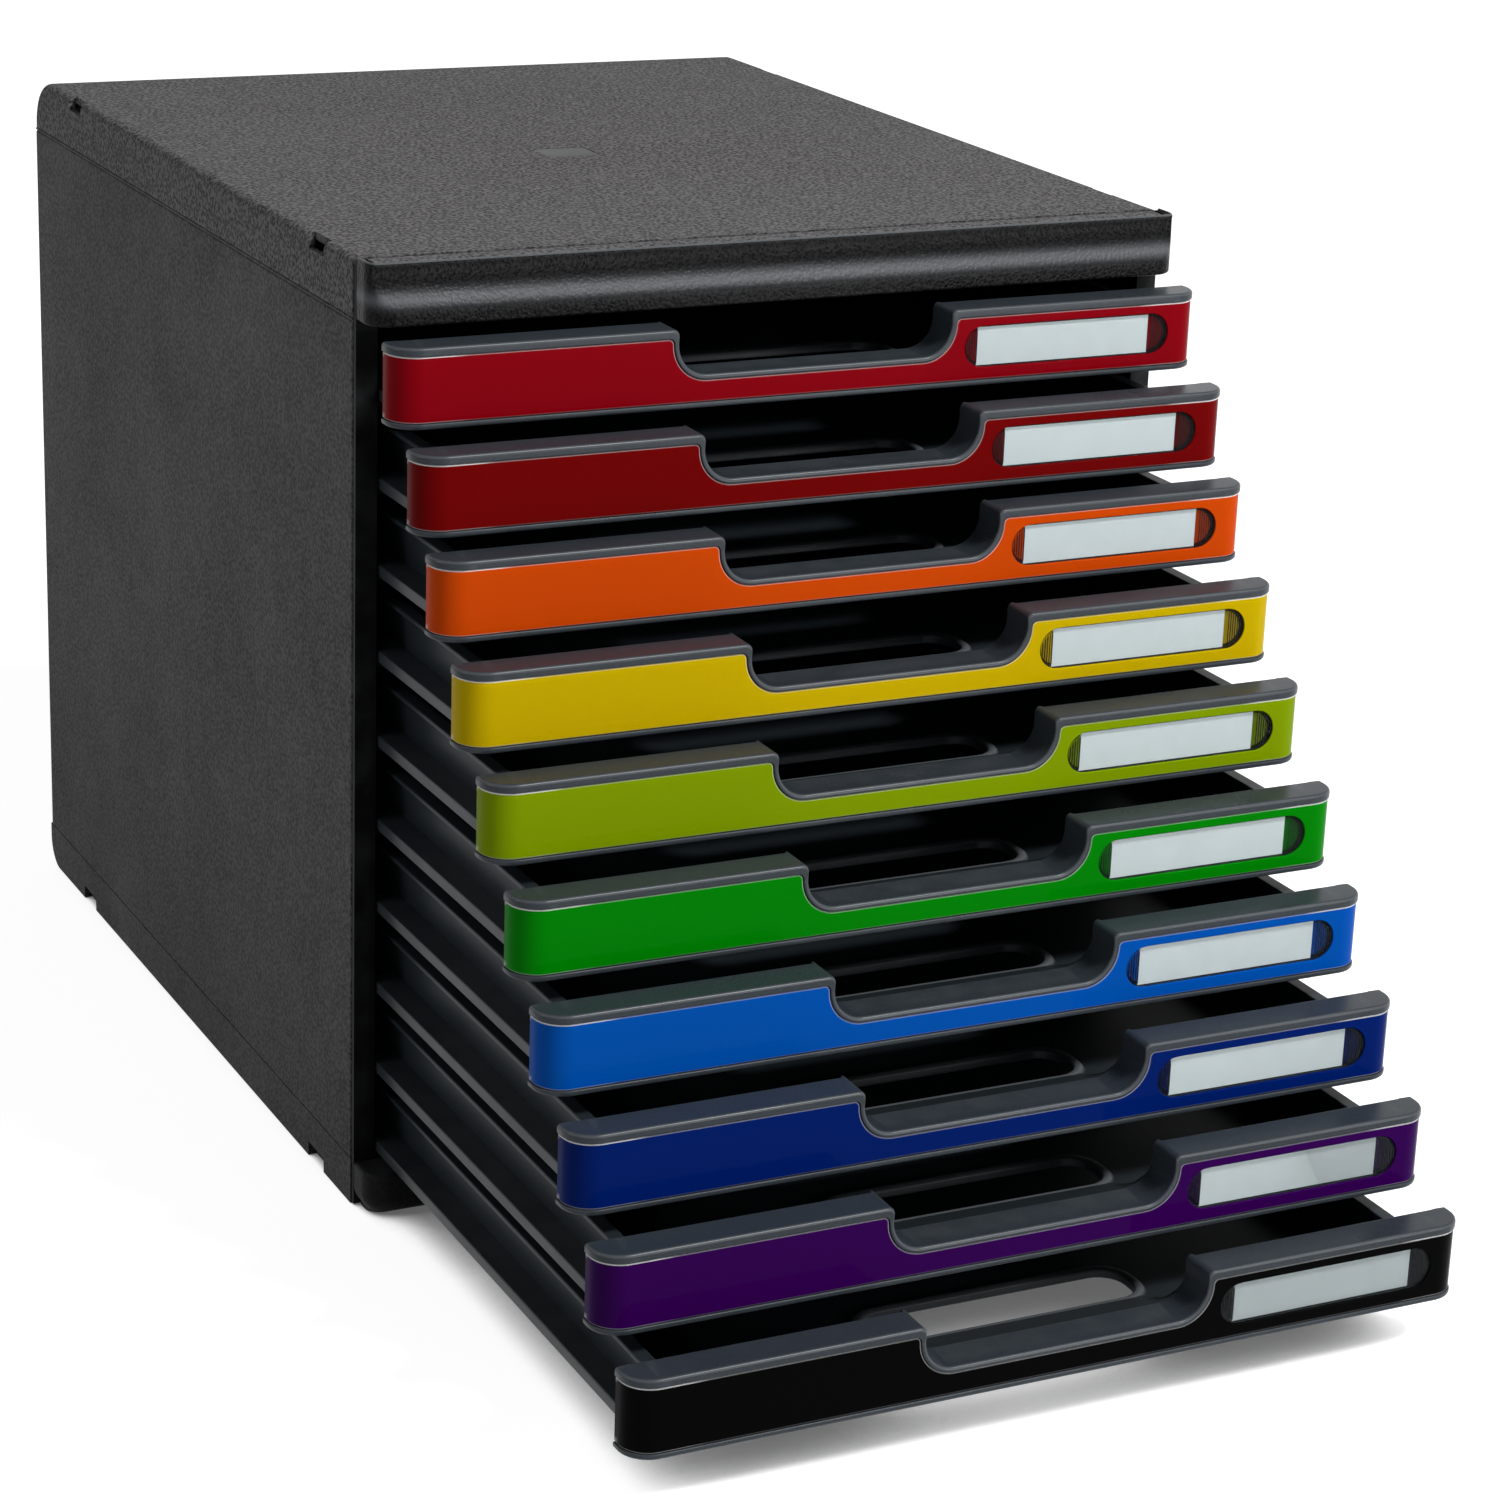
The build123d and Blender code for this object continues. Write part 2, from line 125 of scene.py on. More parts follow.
@dataclass
class Moulding:
    """Grids of points gathered into one closed mesh."""

    points: list[np.ndarray] = field(default_factory=list)
    quads: list[np.ndarray] = field(default_factory=list)
    caps: list[list[int]] = field(default_factory=list)
    marks: list[np.ndarray] = field(default_factory=list)
    count: int = 0

    def sheet(self, grid: np.ndarray, round_rows: bool = False, round_columns: bool = False,
              mark: float | np.ndarray = 0.0) -> np.ndarray:
        """Add a grid of points and join each point to its neighbours with quads.

        Args:
            grid: points as rows, columns and three coordinates.
            round_rows: whether the last row joins the first.
            round_columns: whether the last column joins the first.
            mark: value stored with the points, one for all or one for each.

        Returns:
            The number of each point, as rows and columns.
        """
        rows, columns = grid.shape[:2]
        number = self.count + np.arange(rows * columns).reshape(rows, columns)
        loop = number
        if round_rows:
            loop = np.concatenate([loop, loop[:1]], axis=0)
        if round_columns:
            loop = np.concatenate([loop, loop[:, :1]], axis=1)
        quads = np.stack([loop[:-1, :-1], loop[:-1, 1:], loop[1:, 1:], loop[1:, :-1]], axis=-1)
        self.points.append(grid.reshape(-1, 3))
        self.quads.append(quads.reshape(-1, 4))
        self.marks.append(np.broadcast_to(mark, (rows, columns)).reshape(-1))
        self.count += rows * columns
        return number

    def tube(self, grid: np.ndarray, mark: float | np.ndarray = 0.0) -> None:
        """Add a closed profile carried along a path, with both ends capped.

        Args:
            grid: points, one row for each place on the path.
            mark: value stored with the points, one for all or one for each.
        """
        number = self.sheet(grid, round_columns=True, mark=mark)
        self.caps.append(number[0].tolist())
        self.caps.append(number[-1].tolist())

    def block(self, low: Point, high: Point, radius: float, steps: int = 3) -> None:
        """Add a box with every edge and corner rounded.

        Each point is a corner of the smaller box inside plus the radius times a direction on a
        sphere, whose two angles form the grid. Directions that repeat at the axes leave the flats.

        Args:
            low: lowest corner.
            high: highest corner.
            radius: radius of the edges.
            steps: parts of each quarter turn.
        """
        low_corner = np.array(low) + radius
        high_corner = np.array(high) - radius
        turn = quarter_turns(steps)
        right = np.repeat([1, 0, 0, 1], steps + 1)
        behind = np.repeat([1, 1, 0, 0], steps + 1)
        rise = np.linspace([-QUARTER, 0], [0, QUARTER], steps + 1, axis=1).reshape(-1)
        upper = np.repeat([0, 1], steps + 1)
        span = high_corner - low_corner
        level = radius * np.cos(rise)[:, None]
        x = low_corner[0] + span[0] * right[None] + level * np.cos(turn)[None]
        y = low_corner[1] + span[1] * behind[None] + level * np.sin(turn)[None]
        z = low_corner[2] + span[2] * upper + radius * np.sin(rise)
        self.tube(np.stack([x, y, np.broadcast_to(z[:, None], x.shape)], axis=-1))

    def make(self, name: str) -> bpy.types.Mesh:
        """Join the grids into one mesh with closed seams and faces that point outwards.

        Args:
            name: name of the mesh.

        Returns:
            The mesh, in metres, smooth but for its sharp edges.
        """
        mesh = bpy.data.meshes.new(name)
        vertices = (np.concatenate(self.points) * METRE).tolist()
        faces = np.concatenate(self.quads).tolist() + self.caps
        mesh.from_pydata(vertices, [], faces)
        layer = mesh.attributes.new("mark", "FLOAT", "POINT")
        layer.data.foreach_set("value", np.concatenate(self.marks).astype(np.float32))
        work = bmesh.new()
        work.from_mesh(mesh)
        bmesh.ops.remove_doubles(work, verts=work.verts, dist=MERGE_DISTANCE)
        bmesh.ops.dissolve_degenerate(work, edges=work.edges, dist=MERGE_DISTANCE)
        bmesh.ops.recalc_face_normals(work, faces=work.faces)
        loose = sum(1 for edge in work.edges if not edge.is_manifold)
        work.to_mesh(mesh)
        work.free()
        mesh.shade_smooth()
        mesh.set_sharp_from_angle(angle=SHARP_ANGLE)
        log.info("mesh %s: %d faces, %d open edges", name, len(mesh.polygons), loose)
        return mesh


def place(mesh: bpy.types.Mesh, name: str, finish: bpy.types.Material, body: str,
          replaced: tuple[str, ...], offset: Point = (0, 0, 0)) -> None:
    """Set a copy of a mesh in its place as one piece of the box.

    Args:
        mesh: mesh of the piece, left as it is.
        name: name of the piece.
        finish: its material.
        body: CAD body that it moves with.
        replaced: CAD nodes that it stands for.
        offset: where the mesh's zero goes, in metres.
    """
    copy = mesh.copy()
    copy.name = name
    copy.transform(Matrix.Translation(offset))
    copy.materials.clear()
    copy.materials.append(finish)
    piece = bpy.data.objects.new(name, copy)
    bpy.context.scene.collection.objects.link(piece)
    even = piece.modifiers.new("even_shading", "WEIGHTED_NORMAL")
    even.keep_sharp = True
    even.weight = FLAT_FACE_WEIGHT
    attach(piece, body)
    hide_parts(*replaced)
    log.info("piece %s rides on %s", name, body)


@dataclass(frozen=True)
class Plan:
    """Plan of a bar across the box: straight in front, round corners and short straight ends.

    A piece is drawn flat, with s along the plan, z up and d the depth behind its face, and then
    bent round the corners.
    """

    half_width: float
    corner_radius: float
    depth: float
    bend_limit: float
    arc_steps: int = 12
    straight_steps: int = 28

    @property
    def straight(self) -> float:
        """Half the length of the flat part."""
        return self.half_width - self.corner_radius

    @property
    def end(self) -> float:
        """Value of s at the rear end."""
        return self.straight + self.corner_radius * QUARTER + self.depth - self.corner_radius

    def bend(self, s: np.ndarray, z: np.ndarray, d: np.ndarray,
             back: float | np.ndarray = FRONT_BACK) -> np.ndarray:
        """Bend flat points round the plan.

        The place on the plan is the flat length up to the corner, the radius times the sine and one
        minus the cosine of the turn, and the rest straight back. Shallow depth runs against the
        outward normal; past the limit it runs straight back and ends on one line across the box.

        Args:
            s: distance along the plan from its middle.
            z: height.
            d: depth behind the face.
            back: depth of the rear line that deep points end on.

        Returns:
            Points with three coordinates.
        """
        s, z, d = np.broadcast_arrays(s, z, d)
        reach = np.abs(s)
        turn = np.clip((reach - self.straight) / self.corner_radius, 0, QUARTER)
        past = np.maximum(reach - self.straight - self.corner_radius * QUARTER, 0)
        shallow = np.minimum(d, self.bend_limit)
        across = np.minimum(reach, self.straight) + (self.corner_radius - shallow) * np.sin(turn)
        y = self.corner_radius * (1 - np.cos(turn)) + past + shallow * np.cos(turn)
        deep = np.maximum(d - self.bend_limit, 0) / (back - self.bend_limit)
        y = y + deep * (back - y)
        return np.stack([np.sign(s) * across, y, z], axis=-1)

    def run(self, reach: float) -> np.ndarray:
        """Values of s from the end inwards, closer together in the bend.

        Args:
            reach: value of s at which they stop.

        Returns:
            The values, falling.
        """
        bend_end = self.straight + self.corner_radius * QUARTER
        bent = np.linspace(bend_end, self.straight, self.arc_steps + 1)
        flat = np.linspace(self.straight, reach, self.straight_steps)[1:]
        return np.concatenate([[self.end], bent, flat])

    def whole_run(self) -> np.ndarray:
        """Values of s from the left end to the right end."""
        return np.concatenate([-self.run(0.0), self.run(0.0)[::-1][1:]])


@dataclass(frozen=True)
class FrontShape:
    """Sizes of a drawer front and the lines that its pieces follow."""

    plan: Plan = Plan(half_width=142.3, corner_radius=9.2, depth=11.5, bend_limit=4.5)
    height: float = 25.5
    colour_low: float = 1.8
    colour_high: float = 22.7
    colour_gap: float = 0.1
    recess_half: float = 50.0
    recess_bottom: float = 9.0
    recess_radius: float = 11.6
    shoulder_radius: float = 2.0
    recess_lip: float = 1.75
    label_low_s: float = 53.5
    label_high_s: float = 130.0
    label_centre_z: float = 12.75
    label_height: float = 13.5
    shoulder_steps: int = 6
    corner_steps: int = 12
    floor_steps: int = 9

    def dip(self, grow: float, top: float, shoulder: float) -> np.ndarray:
        """Upper line of a front: level, down a rounded shoulder and round the finger recess.

        Each half is a level run, a quarter circle over the shoulder, a short drop, a quarter circle
        into the bottom, and the bottom to the middle. The other half mirrors it.

        Args:
            grow: how far the recess edge moves outwards.
            top: height of the level part.
            shoulder: radius of the shoulder.

        Returns:
            Points as columns s and z, from the left end to the right end.
        """
        half = self.recess_half + grow
        low = self.recess_bottom - grow
        radius = self.recess_radius + grow
        run = self.plan.run(half + shoulder)
        over = np.linspace(0, QUARTER, self.shoulder_steps + 1)[1:]
        under = np.linspace(0, QUARTER, self.corner_steps + 1)
        floor = np.linspace(half - radius, 0, self.floor_steps + 1)[1:]
        s = np.concatenate([run, half + shoulder - shoulder * np.sin(over),
                            half - radius + radius * np.cos(under), floor])
        z = np.concatenate([np.full_like(run, top), top - shoulder + shoulder * np.cos(over),
                            low + radius - radius * np.sin(under), np.full_like(floor, low)])
        left = np.stack([-s, z], axis=-1)
        right = np.stack([s, z], axis=-1)[::-1][1:]
        return np.concatenate([left, right])

    def below(self, upper: np.ndarray, height: float) -> np.ndarray:
        """Lower line that matches an upper line point by point, evenly spread under the recess.

        Under the recess each s is the same share of the width as the length of the upper line up
        to that point is of its whole length there.

        Args:
            upper: points of the upper line, as columns s and z.
            height: height of the lower line.

        Returns:
            Points of the lower line, as columns s and z.
        """
        edge = self.recess_half + self.shoulder_radius
        inside = np.flatnonzero(np.abs(upper[:, 0]) <= edge + HAIR)
        s = upper[:, 0].copy()
        steps = np.hypot(*np.diff(upper[inside], axis=0).T)
        share = np.concatenate([[0], np.cumsum(steps)]) / steps.sum()
        s[inside] = s[inside[0]] + (s[inside[-1]] - s[inside[0]]) * share
        return np.stack([s, np.full_like(s, height)], axis=-1)

    def colour_edge(self, inset: float) -> np.ndarray:
        """Upper edge of the coloured cover, moved in by the given amount."""
        gap = inset + self.colour_gap
        return self.dip(gap, self.colour_high - gap, self.shoulder_radius - gap)

    def lip_lines(self) -> tuple[np.ndarray, np.ndarray]:
        """Outer edge of the upper lip and the colour edge, matched point by point.

        Returns:
            Points of both lines, each as columns s and z.
        """
        inner = self.dip(0.0, self.colour_high, self.shoulder_radius)
        outer = self.dip(-self.recess_lip, self.height, self.shoulder_radius)
        return outer, inner


@dataclass(frozen=True)
class Bezel:
    """Grey surround of a drawer front: both lips, the skin behind the cover and the ramp."""

    front: FrontShape = FrontShape()
    proud: float = 0.4
    lip_round: float = 1.1
    seam_round: float = 0.35
    back_round: float = 0.45
    lip_plate: float = 2.0
    seat_depth: float = 2.7
    skin_depth: float = 4.2
    skin_lap: float = 0.1
    skin_overlap: float = 0.3
    lip_back: float = FRONT_BACK
    recess_back: float = 13.3
    bottom_round: float = 0.8
    ramp_flank: float = 6.0
    ramp_wall: float = 1.3
    ramp_lap: float = 0.4
    ramp_curve: float = 0.98
    # Painted highlight on the lip's front rounding, as mark values.
    shine: tuple[float, ...] = (0.5, 1.0, 0.8, 0.3)

    def upper_lip(self, shell: Moulding) -> None:
        """Add the upper lip, which dips round the finger recess.

        A closed profile is carried along the lip's edge. Its points lie at a distance a from the
        outer edge, measured straight towards the colour edge, and at a depth d.

        Args:
            shell: mesh to add to.
        """
        outer, inner = self.front.lip_lines()
        reach = inner - outer
        width = np.hypot(reach[:, 0], reach[:, 1])[:, None]
        direction = reach / width
        inside = np.abs(outer[:, 0]) < self.front.recess_half
        back = np.where(inside, self.recess_back, self.lip_back)[:, None]
        seam_inset, seam_depth = round_over(self.seam_round, steps=3)
        edge_inset, edge_depth = round_over(self.lip_round, steps=6)
        rear_inset, rear_depth = round_over(self.back_round, steps=3)
        ones = np.ones_like(width)
        a = np.concatenate([width, width - seam_inset[::-1][None], ones * edge_inset[None],
                            ones * rear_depth[None], ones * self.lip_plate, ones * self.lip_plate], axis=1)
        d = np.concatenate([ones * self.seat_depth, ones * (seam_depth[::-1][None] - self.proud),
                            ones * (edge_depth[None] - self.proud), back - rear_inset[None],
                            back, ones * (self.skin_depth + self.skin_lap)], axis=1)
        s = outer[:, :1] + direction[:, :1] * a
        z = outer[:, 1:] + direction[:, 1:] * a
        # Painted highlight along the front rounding of the lip, carried by the mark.
        mark = np.zeros(a.shape[1])
        mark[2 + len(seam_inset):][:len(self.shine)] = self.shine
        shell.tube(self.front.plan.bend(s, z, d, back), mark[None])

    def lower_lip(self, shell: Moulding) -> None:
        """Add the lower lip: a rounded bar bent round the whole front.

        Args:
            shell: mesh to add to.
        """
        s = self.front.plan.whole_run()[:, None]
        low_inset, low_depth = round_over(self.bottom_round, steps=5)
        seam_inset, seam_depth = round_over(self.seam_round, steps=3)
        top = self.front.colour_low
        z = np.concatenate([[0.0], low_inset[::-1], top - seam_inset, [top]])[None]
        d = np.concatenate([[self.skin_depth], low_depth[::-1] - self.proud, seam_depth - self.proud,
                            [self.skin_depth]])[None]
        shell.tube(self.front.plan.bend(s, z, d))

    def skin(self, shell: Moulding) -> None:
        """Add the wall behind the cover, from the lower lip up to the upper one.

        Args:
            shell: mesh to add to.
        """
        outer, inner = self.front.lip_lines()
        upper = inner + self.skin_overlap * (outer - inner)
        self.panel(shell, upper, self.front.colour_low / 2, self.seat_depth, self.skin_depth)

    def panel(self, shell: Moulding, upper: np.ndarray, low: float, near: float, far: float) -> None:
        """Add a flat wall between an upper line and a level lower line.

        Its closed profile has four corners: both lines at the near depth and at the far one.

        Args:
            shell: mesh to add to.
            upper: upper line, as columns s and z.
            low: height of the lower line.
            near: depth of the front of the wall.
            far: depth of its back.
        """
        lower = self.front.below(upper, low)
        s = np.stack([lower[:, 0], upper[:, 0], upper[:, 0], lower[:, 0]], axis=-1)
        z = np.stack([lower[:, 1], upper[:, 1], upper[:, 1], lower[:, 1]], axis=-1)
        d = np.array([near, near, far, far])[None]
        shell.tube(self.front.plan.bend(s, z, d, self.recess_back))

    def ramp(self, shell: Moulding, floor: float, slot_near: float, slot_half: float) -> None:
        """Add the scoop from the recess lip down to the tray floor.

        A straight line runs from each point of the recess edge back to a line on the floor. That
        line is straight along the slot and a quarter ellipse at each end.

        Args:
            shell: mesh to add to.
            floor: height of the tray floor.
            slot_near: depth at which the ramp ends.
            slot_half: half width of the ramp's end.
        """
        edge = self.front.dip(-self.front.recess_lip, self.front.height, self.front.shoulder_radius)
        flat = self.front.recess_half - self.front.recess_radius
        edge = edge[np.abs(edge[:, 0]) < self.front.recess_half - self.front.recess_lip + HAIR]
        radius = self.front.recess_radius - self.front.recess_lip
        swing = np.clip((np.abs(edge[:, 0]) - flat) / radius, 0, 1)
        start = self.recess_back - self.back_round
        outward = np.sign(edge[:, 0]) * (slot_half + self.ramp_flank * swing)
        foot_x = np.where(swing > 0, outward, edge[:, 0] * slot_half / flat)
        foot_y = start + (slot_near - start) * np.sqrt(1 - swing ** 2 * self.ramp_curve)
        top_y = np.full_like(foot_y, start)
        foot_z = np.full_like(foot_y, floor)
        thick = np.array([0, 0, self.ramp_wall, self.lip_plate - self.ramp_lap])
        x = np.stack([edge[:, 0], foot_x, foot_x, edge[:, 0]], axis=-1)
        y = np.stack([top_y, foot_y, foot_y, top_y], axis=-1)
        z = np.stack([edge[:, 1], foot_z, foot_z, edge[:, 1]], axis=-1) - thick
        shell.tube(np.stack([x, y, z], axis=-1))

    def mesh(self) -> bpy.types.Mesh:
        """Build the whole bezel in the drawer's own frame.

        Returns:
            The mesh.
        """
        shell = Moulding()
        self.upper_lip(shell)
        self.lower_lip(shell)
        self.skin(shell)
        return shell.make("bezel")


@dataclass(frozen=True)
class Tray:
    """Grey tray behind the front: walls, rolled rim, floor, push-out slot and runner flanges."""

    front: FrontShape = FrontShape()
    bezel: Bezel = Bezel()
    length: float = 354.0
    half_width: float = 126.5
    start: float = 9.5
    wall: float = 2.0
    lean: float = 1.0
    foot_bevel: float = 0.5
    underside: float = 1.5
    floor: float = 3.5
    rim_top: float = 20.2
    rim_thickness: float = 1.6
    rim_overhang: float = 3.0
    rim_bevel: float = 0.4
    rim_round: float = 0.7
    inner_round: float = 0.5
    corner_radius: float = 9.0
    floor_round: float = 2.2
    slot_near: float = 31.4
    slot_far: float = 51.0
    slot_half: float = 45.7
    slot_radius: float = 8.0
    bead_width: float = 3.6
    bead_height: float = 1.1
    bead_toe: float = 0.5
    bead_lift: float = 0.15
    bead_shoulder: float = 0.35
    bead_slope: float = 1.1
    bead_crown: float = 1.0
    slot_round: tuple[float, float] = (0.35, 0.25)
    slot_drop: float = 0.8
    slot_bevel: float = 0.4
    bead_shine: tuple[float, ...] = (0.6, 1.0, 0.6, 0.3)
    flange_half: float = 135.6
    flange_top: float = 5.5
    flange_round: float = 0.5
    flange_lap: float = 1.0
    lug_width: float = 2.4
    lug_length: float = 8.0
    lug_height: float = 1.4
    lug_gap: float = 0.1
    near_cover: float = 0.75
    apron_share: float = 0.55
    ramp_lift: float = 0.5
    ramp_setback: float = 0.4
    ramp_inset: float = 1.7
    line_margin: float = 1.0
    arc_steps: int = 7

    def near_line(self) -> np.ndarray:
        """Upper limit of the near wall below the finger recess, as points x and z."""
        line = self.front.dip(-self.near_cover, self.front.height, self.front.shoulder_radius)
        return line[np.abs(line[:, 0]) < self.front.recess_half + self.front.shoulder_radius]

    def loop(self, half: float, near: float, far: float, radius: float, height: float) -> np.ndarray:
        """Rounded rectangle of points, always with the same number of points.

        The near side has a point for each point of the recess line and stays below that line.

        Args:
            half: half its width.
            near: y of its near side.
            far: y of its far side.
            radius: radius of its corners.
            height: height of the points.

        Returns:
            Points round the rectangle, from the far right corner on.
        """
        turn = quarter_turns(self.arc_steps)
        right = np.repeat([1, -1, -1, 1], self.arc_steps + 1)
        behind = np.repeat([1, 1, 0, 0], self.arc_steps + 1)
        x = right * (half - radius) + radius * np.cos(turn)
        y = near + radius + behind * (far - near - 2 * radius) + radius * np.sin(turn)
        corners = np.stack([x, y, np.full_like(x, height)], axis=-1)
        line = self.near_line()
        squeeze = min(1.0, (half - radius) / (line[:, 0].max() + self.line_margin))
        between = np.stack([line[:, 0] * squeeze, np.full(len(line), near),
                            np.minimum(line[:, 1], height)], axis=-1)
        third = 3 * (self.arc_steps + 1)
        return np.concatenate([corners[:third], between, corners[third:]])

    def walls(self, shell: Moulding) -> None:
        """Add walls, rim, floor, bead and slot as one closed ring.

        A closed profile is carried round the tray. Each place on it is a rounded rectangle: those
        of the walls and rim shrink inwards, and those of the bead follow the slot.

        Args:
            shell: mesh to add to.
        """
        loops = [self.loop(*row) for row in self.wall_rows()]
        bead = self.bead_profile()
        for grow, height in bead:
            loops.append(self.loop(self.slot_half + grow, self.slot_near - grow, self.slot_far + grow,
                                   self.slot_radius + grow, height))
        mark = np.zeros(len(loops))
        # Painted highlight along the bead's crown, carried by the mark.
        mark[-len(bead):][2:6] = self.bead_shine
        shell.sheet(np.stack(loops), round_rows=True, round_columns=True, mark=mark[:, None])

    def wall_rows(self) -> list[tuple[float, ...]]:
        """Rows of the walls, from under the tray, over the rim and down to the floor.

        Returns:
            Half width, near and far y, corner radius and height of each row.
        """
        outer, top, corner = self.half_width, self.rim_top, self.corner_radius
        foot, rim, lean = self.foot_bevel, self.rim_bevel, self.lean
        start, rear = self.start, self.length - self.rim_overhang
        rim_half, rim_low = outer + lean + self.rim_overhang, top - self.rim_thickness
        rim_corner = corner + self.rim_overhang
        inner = outer - self.wall
        rows = [(outer - foot, start + lean + foot, rear - lean - foot, corner, self.underside),
                (outer, start + lean, rear - lean, corner, self.underside + foot),
                (outer + lean, start, rear, corner + lean, rim_low - rim),
                (outer + lean + rim, start, rear + rim, corner + lean, rim_low),
                (rim_half - rim, start, self.length - rim, rim_corner - rim, rim_low),
                (rim_half, start, self.length, rim_corner, rim_low + rim)]
        inset, drop = round_over(self.rim_round, steps=4)
        rows += [(rim_half - i, start + i, self.length - i, rim_corner - i, top - d)
                 for i, d in zip(inset[::-1], drop[::-1])]
        inset, drop = round_over(self.inner_round, steps=3)
        near, far = start + self.wall, rear - self.wall
        rows += [(inner + lean + i, near - i, far + i, corner - lean, top - d) for i, d in zip(inset, drop)]
        inset, drop = round_over(self.floor_round, steps=5)
        radius = corner - self.wall
        rows += [(inner - i, near + lean + i, far - lean - i, radius - i, self.floor + lift)
                 for i, lift in zip(drop, inset)]
        return rows

    def bead_profile(self) -> list[tuple[float, float]]:
        """Profile of the raised bead round the slot, and of the slot's edge.

        Returns:
            Distance from the slot's edge and height of each point, from the floor over the bead's
            outer side, its crown and its inner side down to the underside.
        """
        foot, floor, peak = self.bead_width, self.floor, self.floor + self.bead_height
        return [(foot + self.bead_toe, floor), (foot, floor + self.bead_lift),
                (foot - self.bead_toe, peak - self.bead_shoulder), (foot - self.bead_slope, peak),
                (self.bead_crown, peak), (self.slot_round[0], peak - self.slot_round[1]),
                (0.0, peak - self.slot_drop), (0.0, self.underside + self.slot_bevel),
                (self.slot_bevel, self.underside)]

    def apron(self, shell: Moulding) -> None:
        """Add the tray's front wall behind the bezel, with the recess cut into it.

        Args:
            shell: mesh to add to.
        """
        outer, inner = self.front.lip_lines()
        upper = inner + (outer - inner) * self.apron_share
        keep = np.abs(upper[:, 0]) <= self.half_width
        self.bezel.panel(shell, upper[keep], self.underside, self.start, self.front.plan.depth)

    def flanges(self, shell: Moulding) -> None:
        """Add the runner flange on each side with its end lug.

        Args:
            shell: mesh to add to.
        """
        for side in Side:
            edges = sorted(side.value * x for x in (self.half_width - self.flange_lap, self.flange_half))
            shell.block((edges[0], self.start, self.underside),
                        (edges[1], self.length, self.flange_top), self.flange_round)
            lug = sorted(side.value * (self.flange_half - self.lug_gap - inset)
                         for inset in (0, self.lug_width))
            shell.block((lug[0], self.length - self.lug_length, self.flange_top - self.flange_lap),
                        (lug[1], self.length - self.lug_gap, self.flange_top + self.lug_height),
                        self.flange_round)

    def mesh(self) -> bpy.types.Mesh:
        """Build the whole tray in the drawer's own frame.

        Returns:
            The mesh.
        """
        shell = Moulding()
        self.walls(shell)
        self.apron(shell)
        self.bezel.ramp(shell, self.floor + self.ramp_lift, self.slot_near - self.ramp_setback,
                        self.slot_half - self.ramp_inset)
        self.flanges(shell)
        return shell.make("tray")


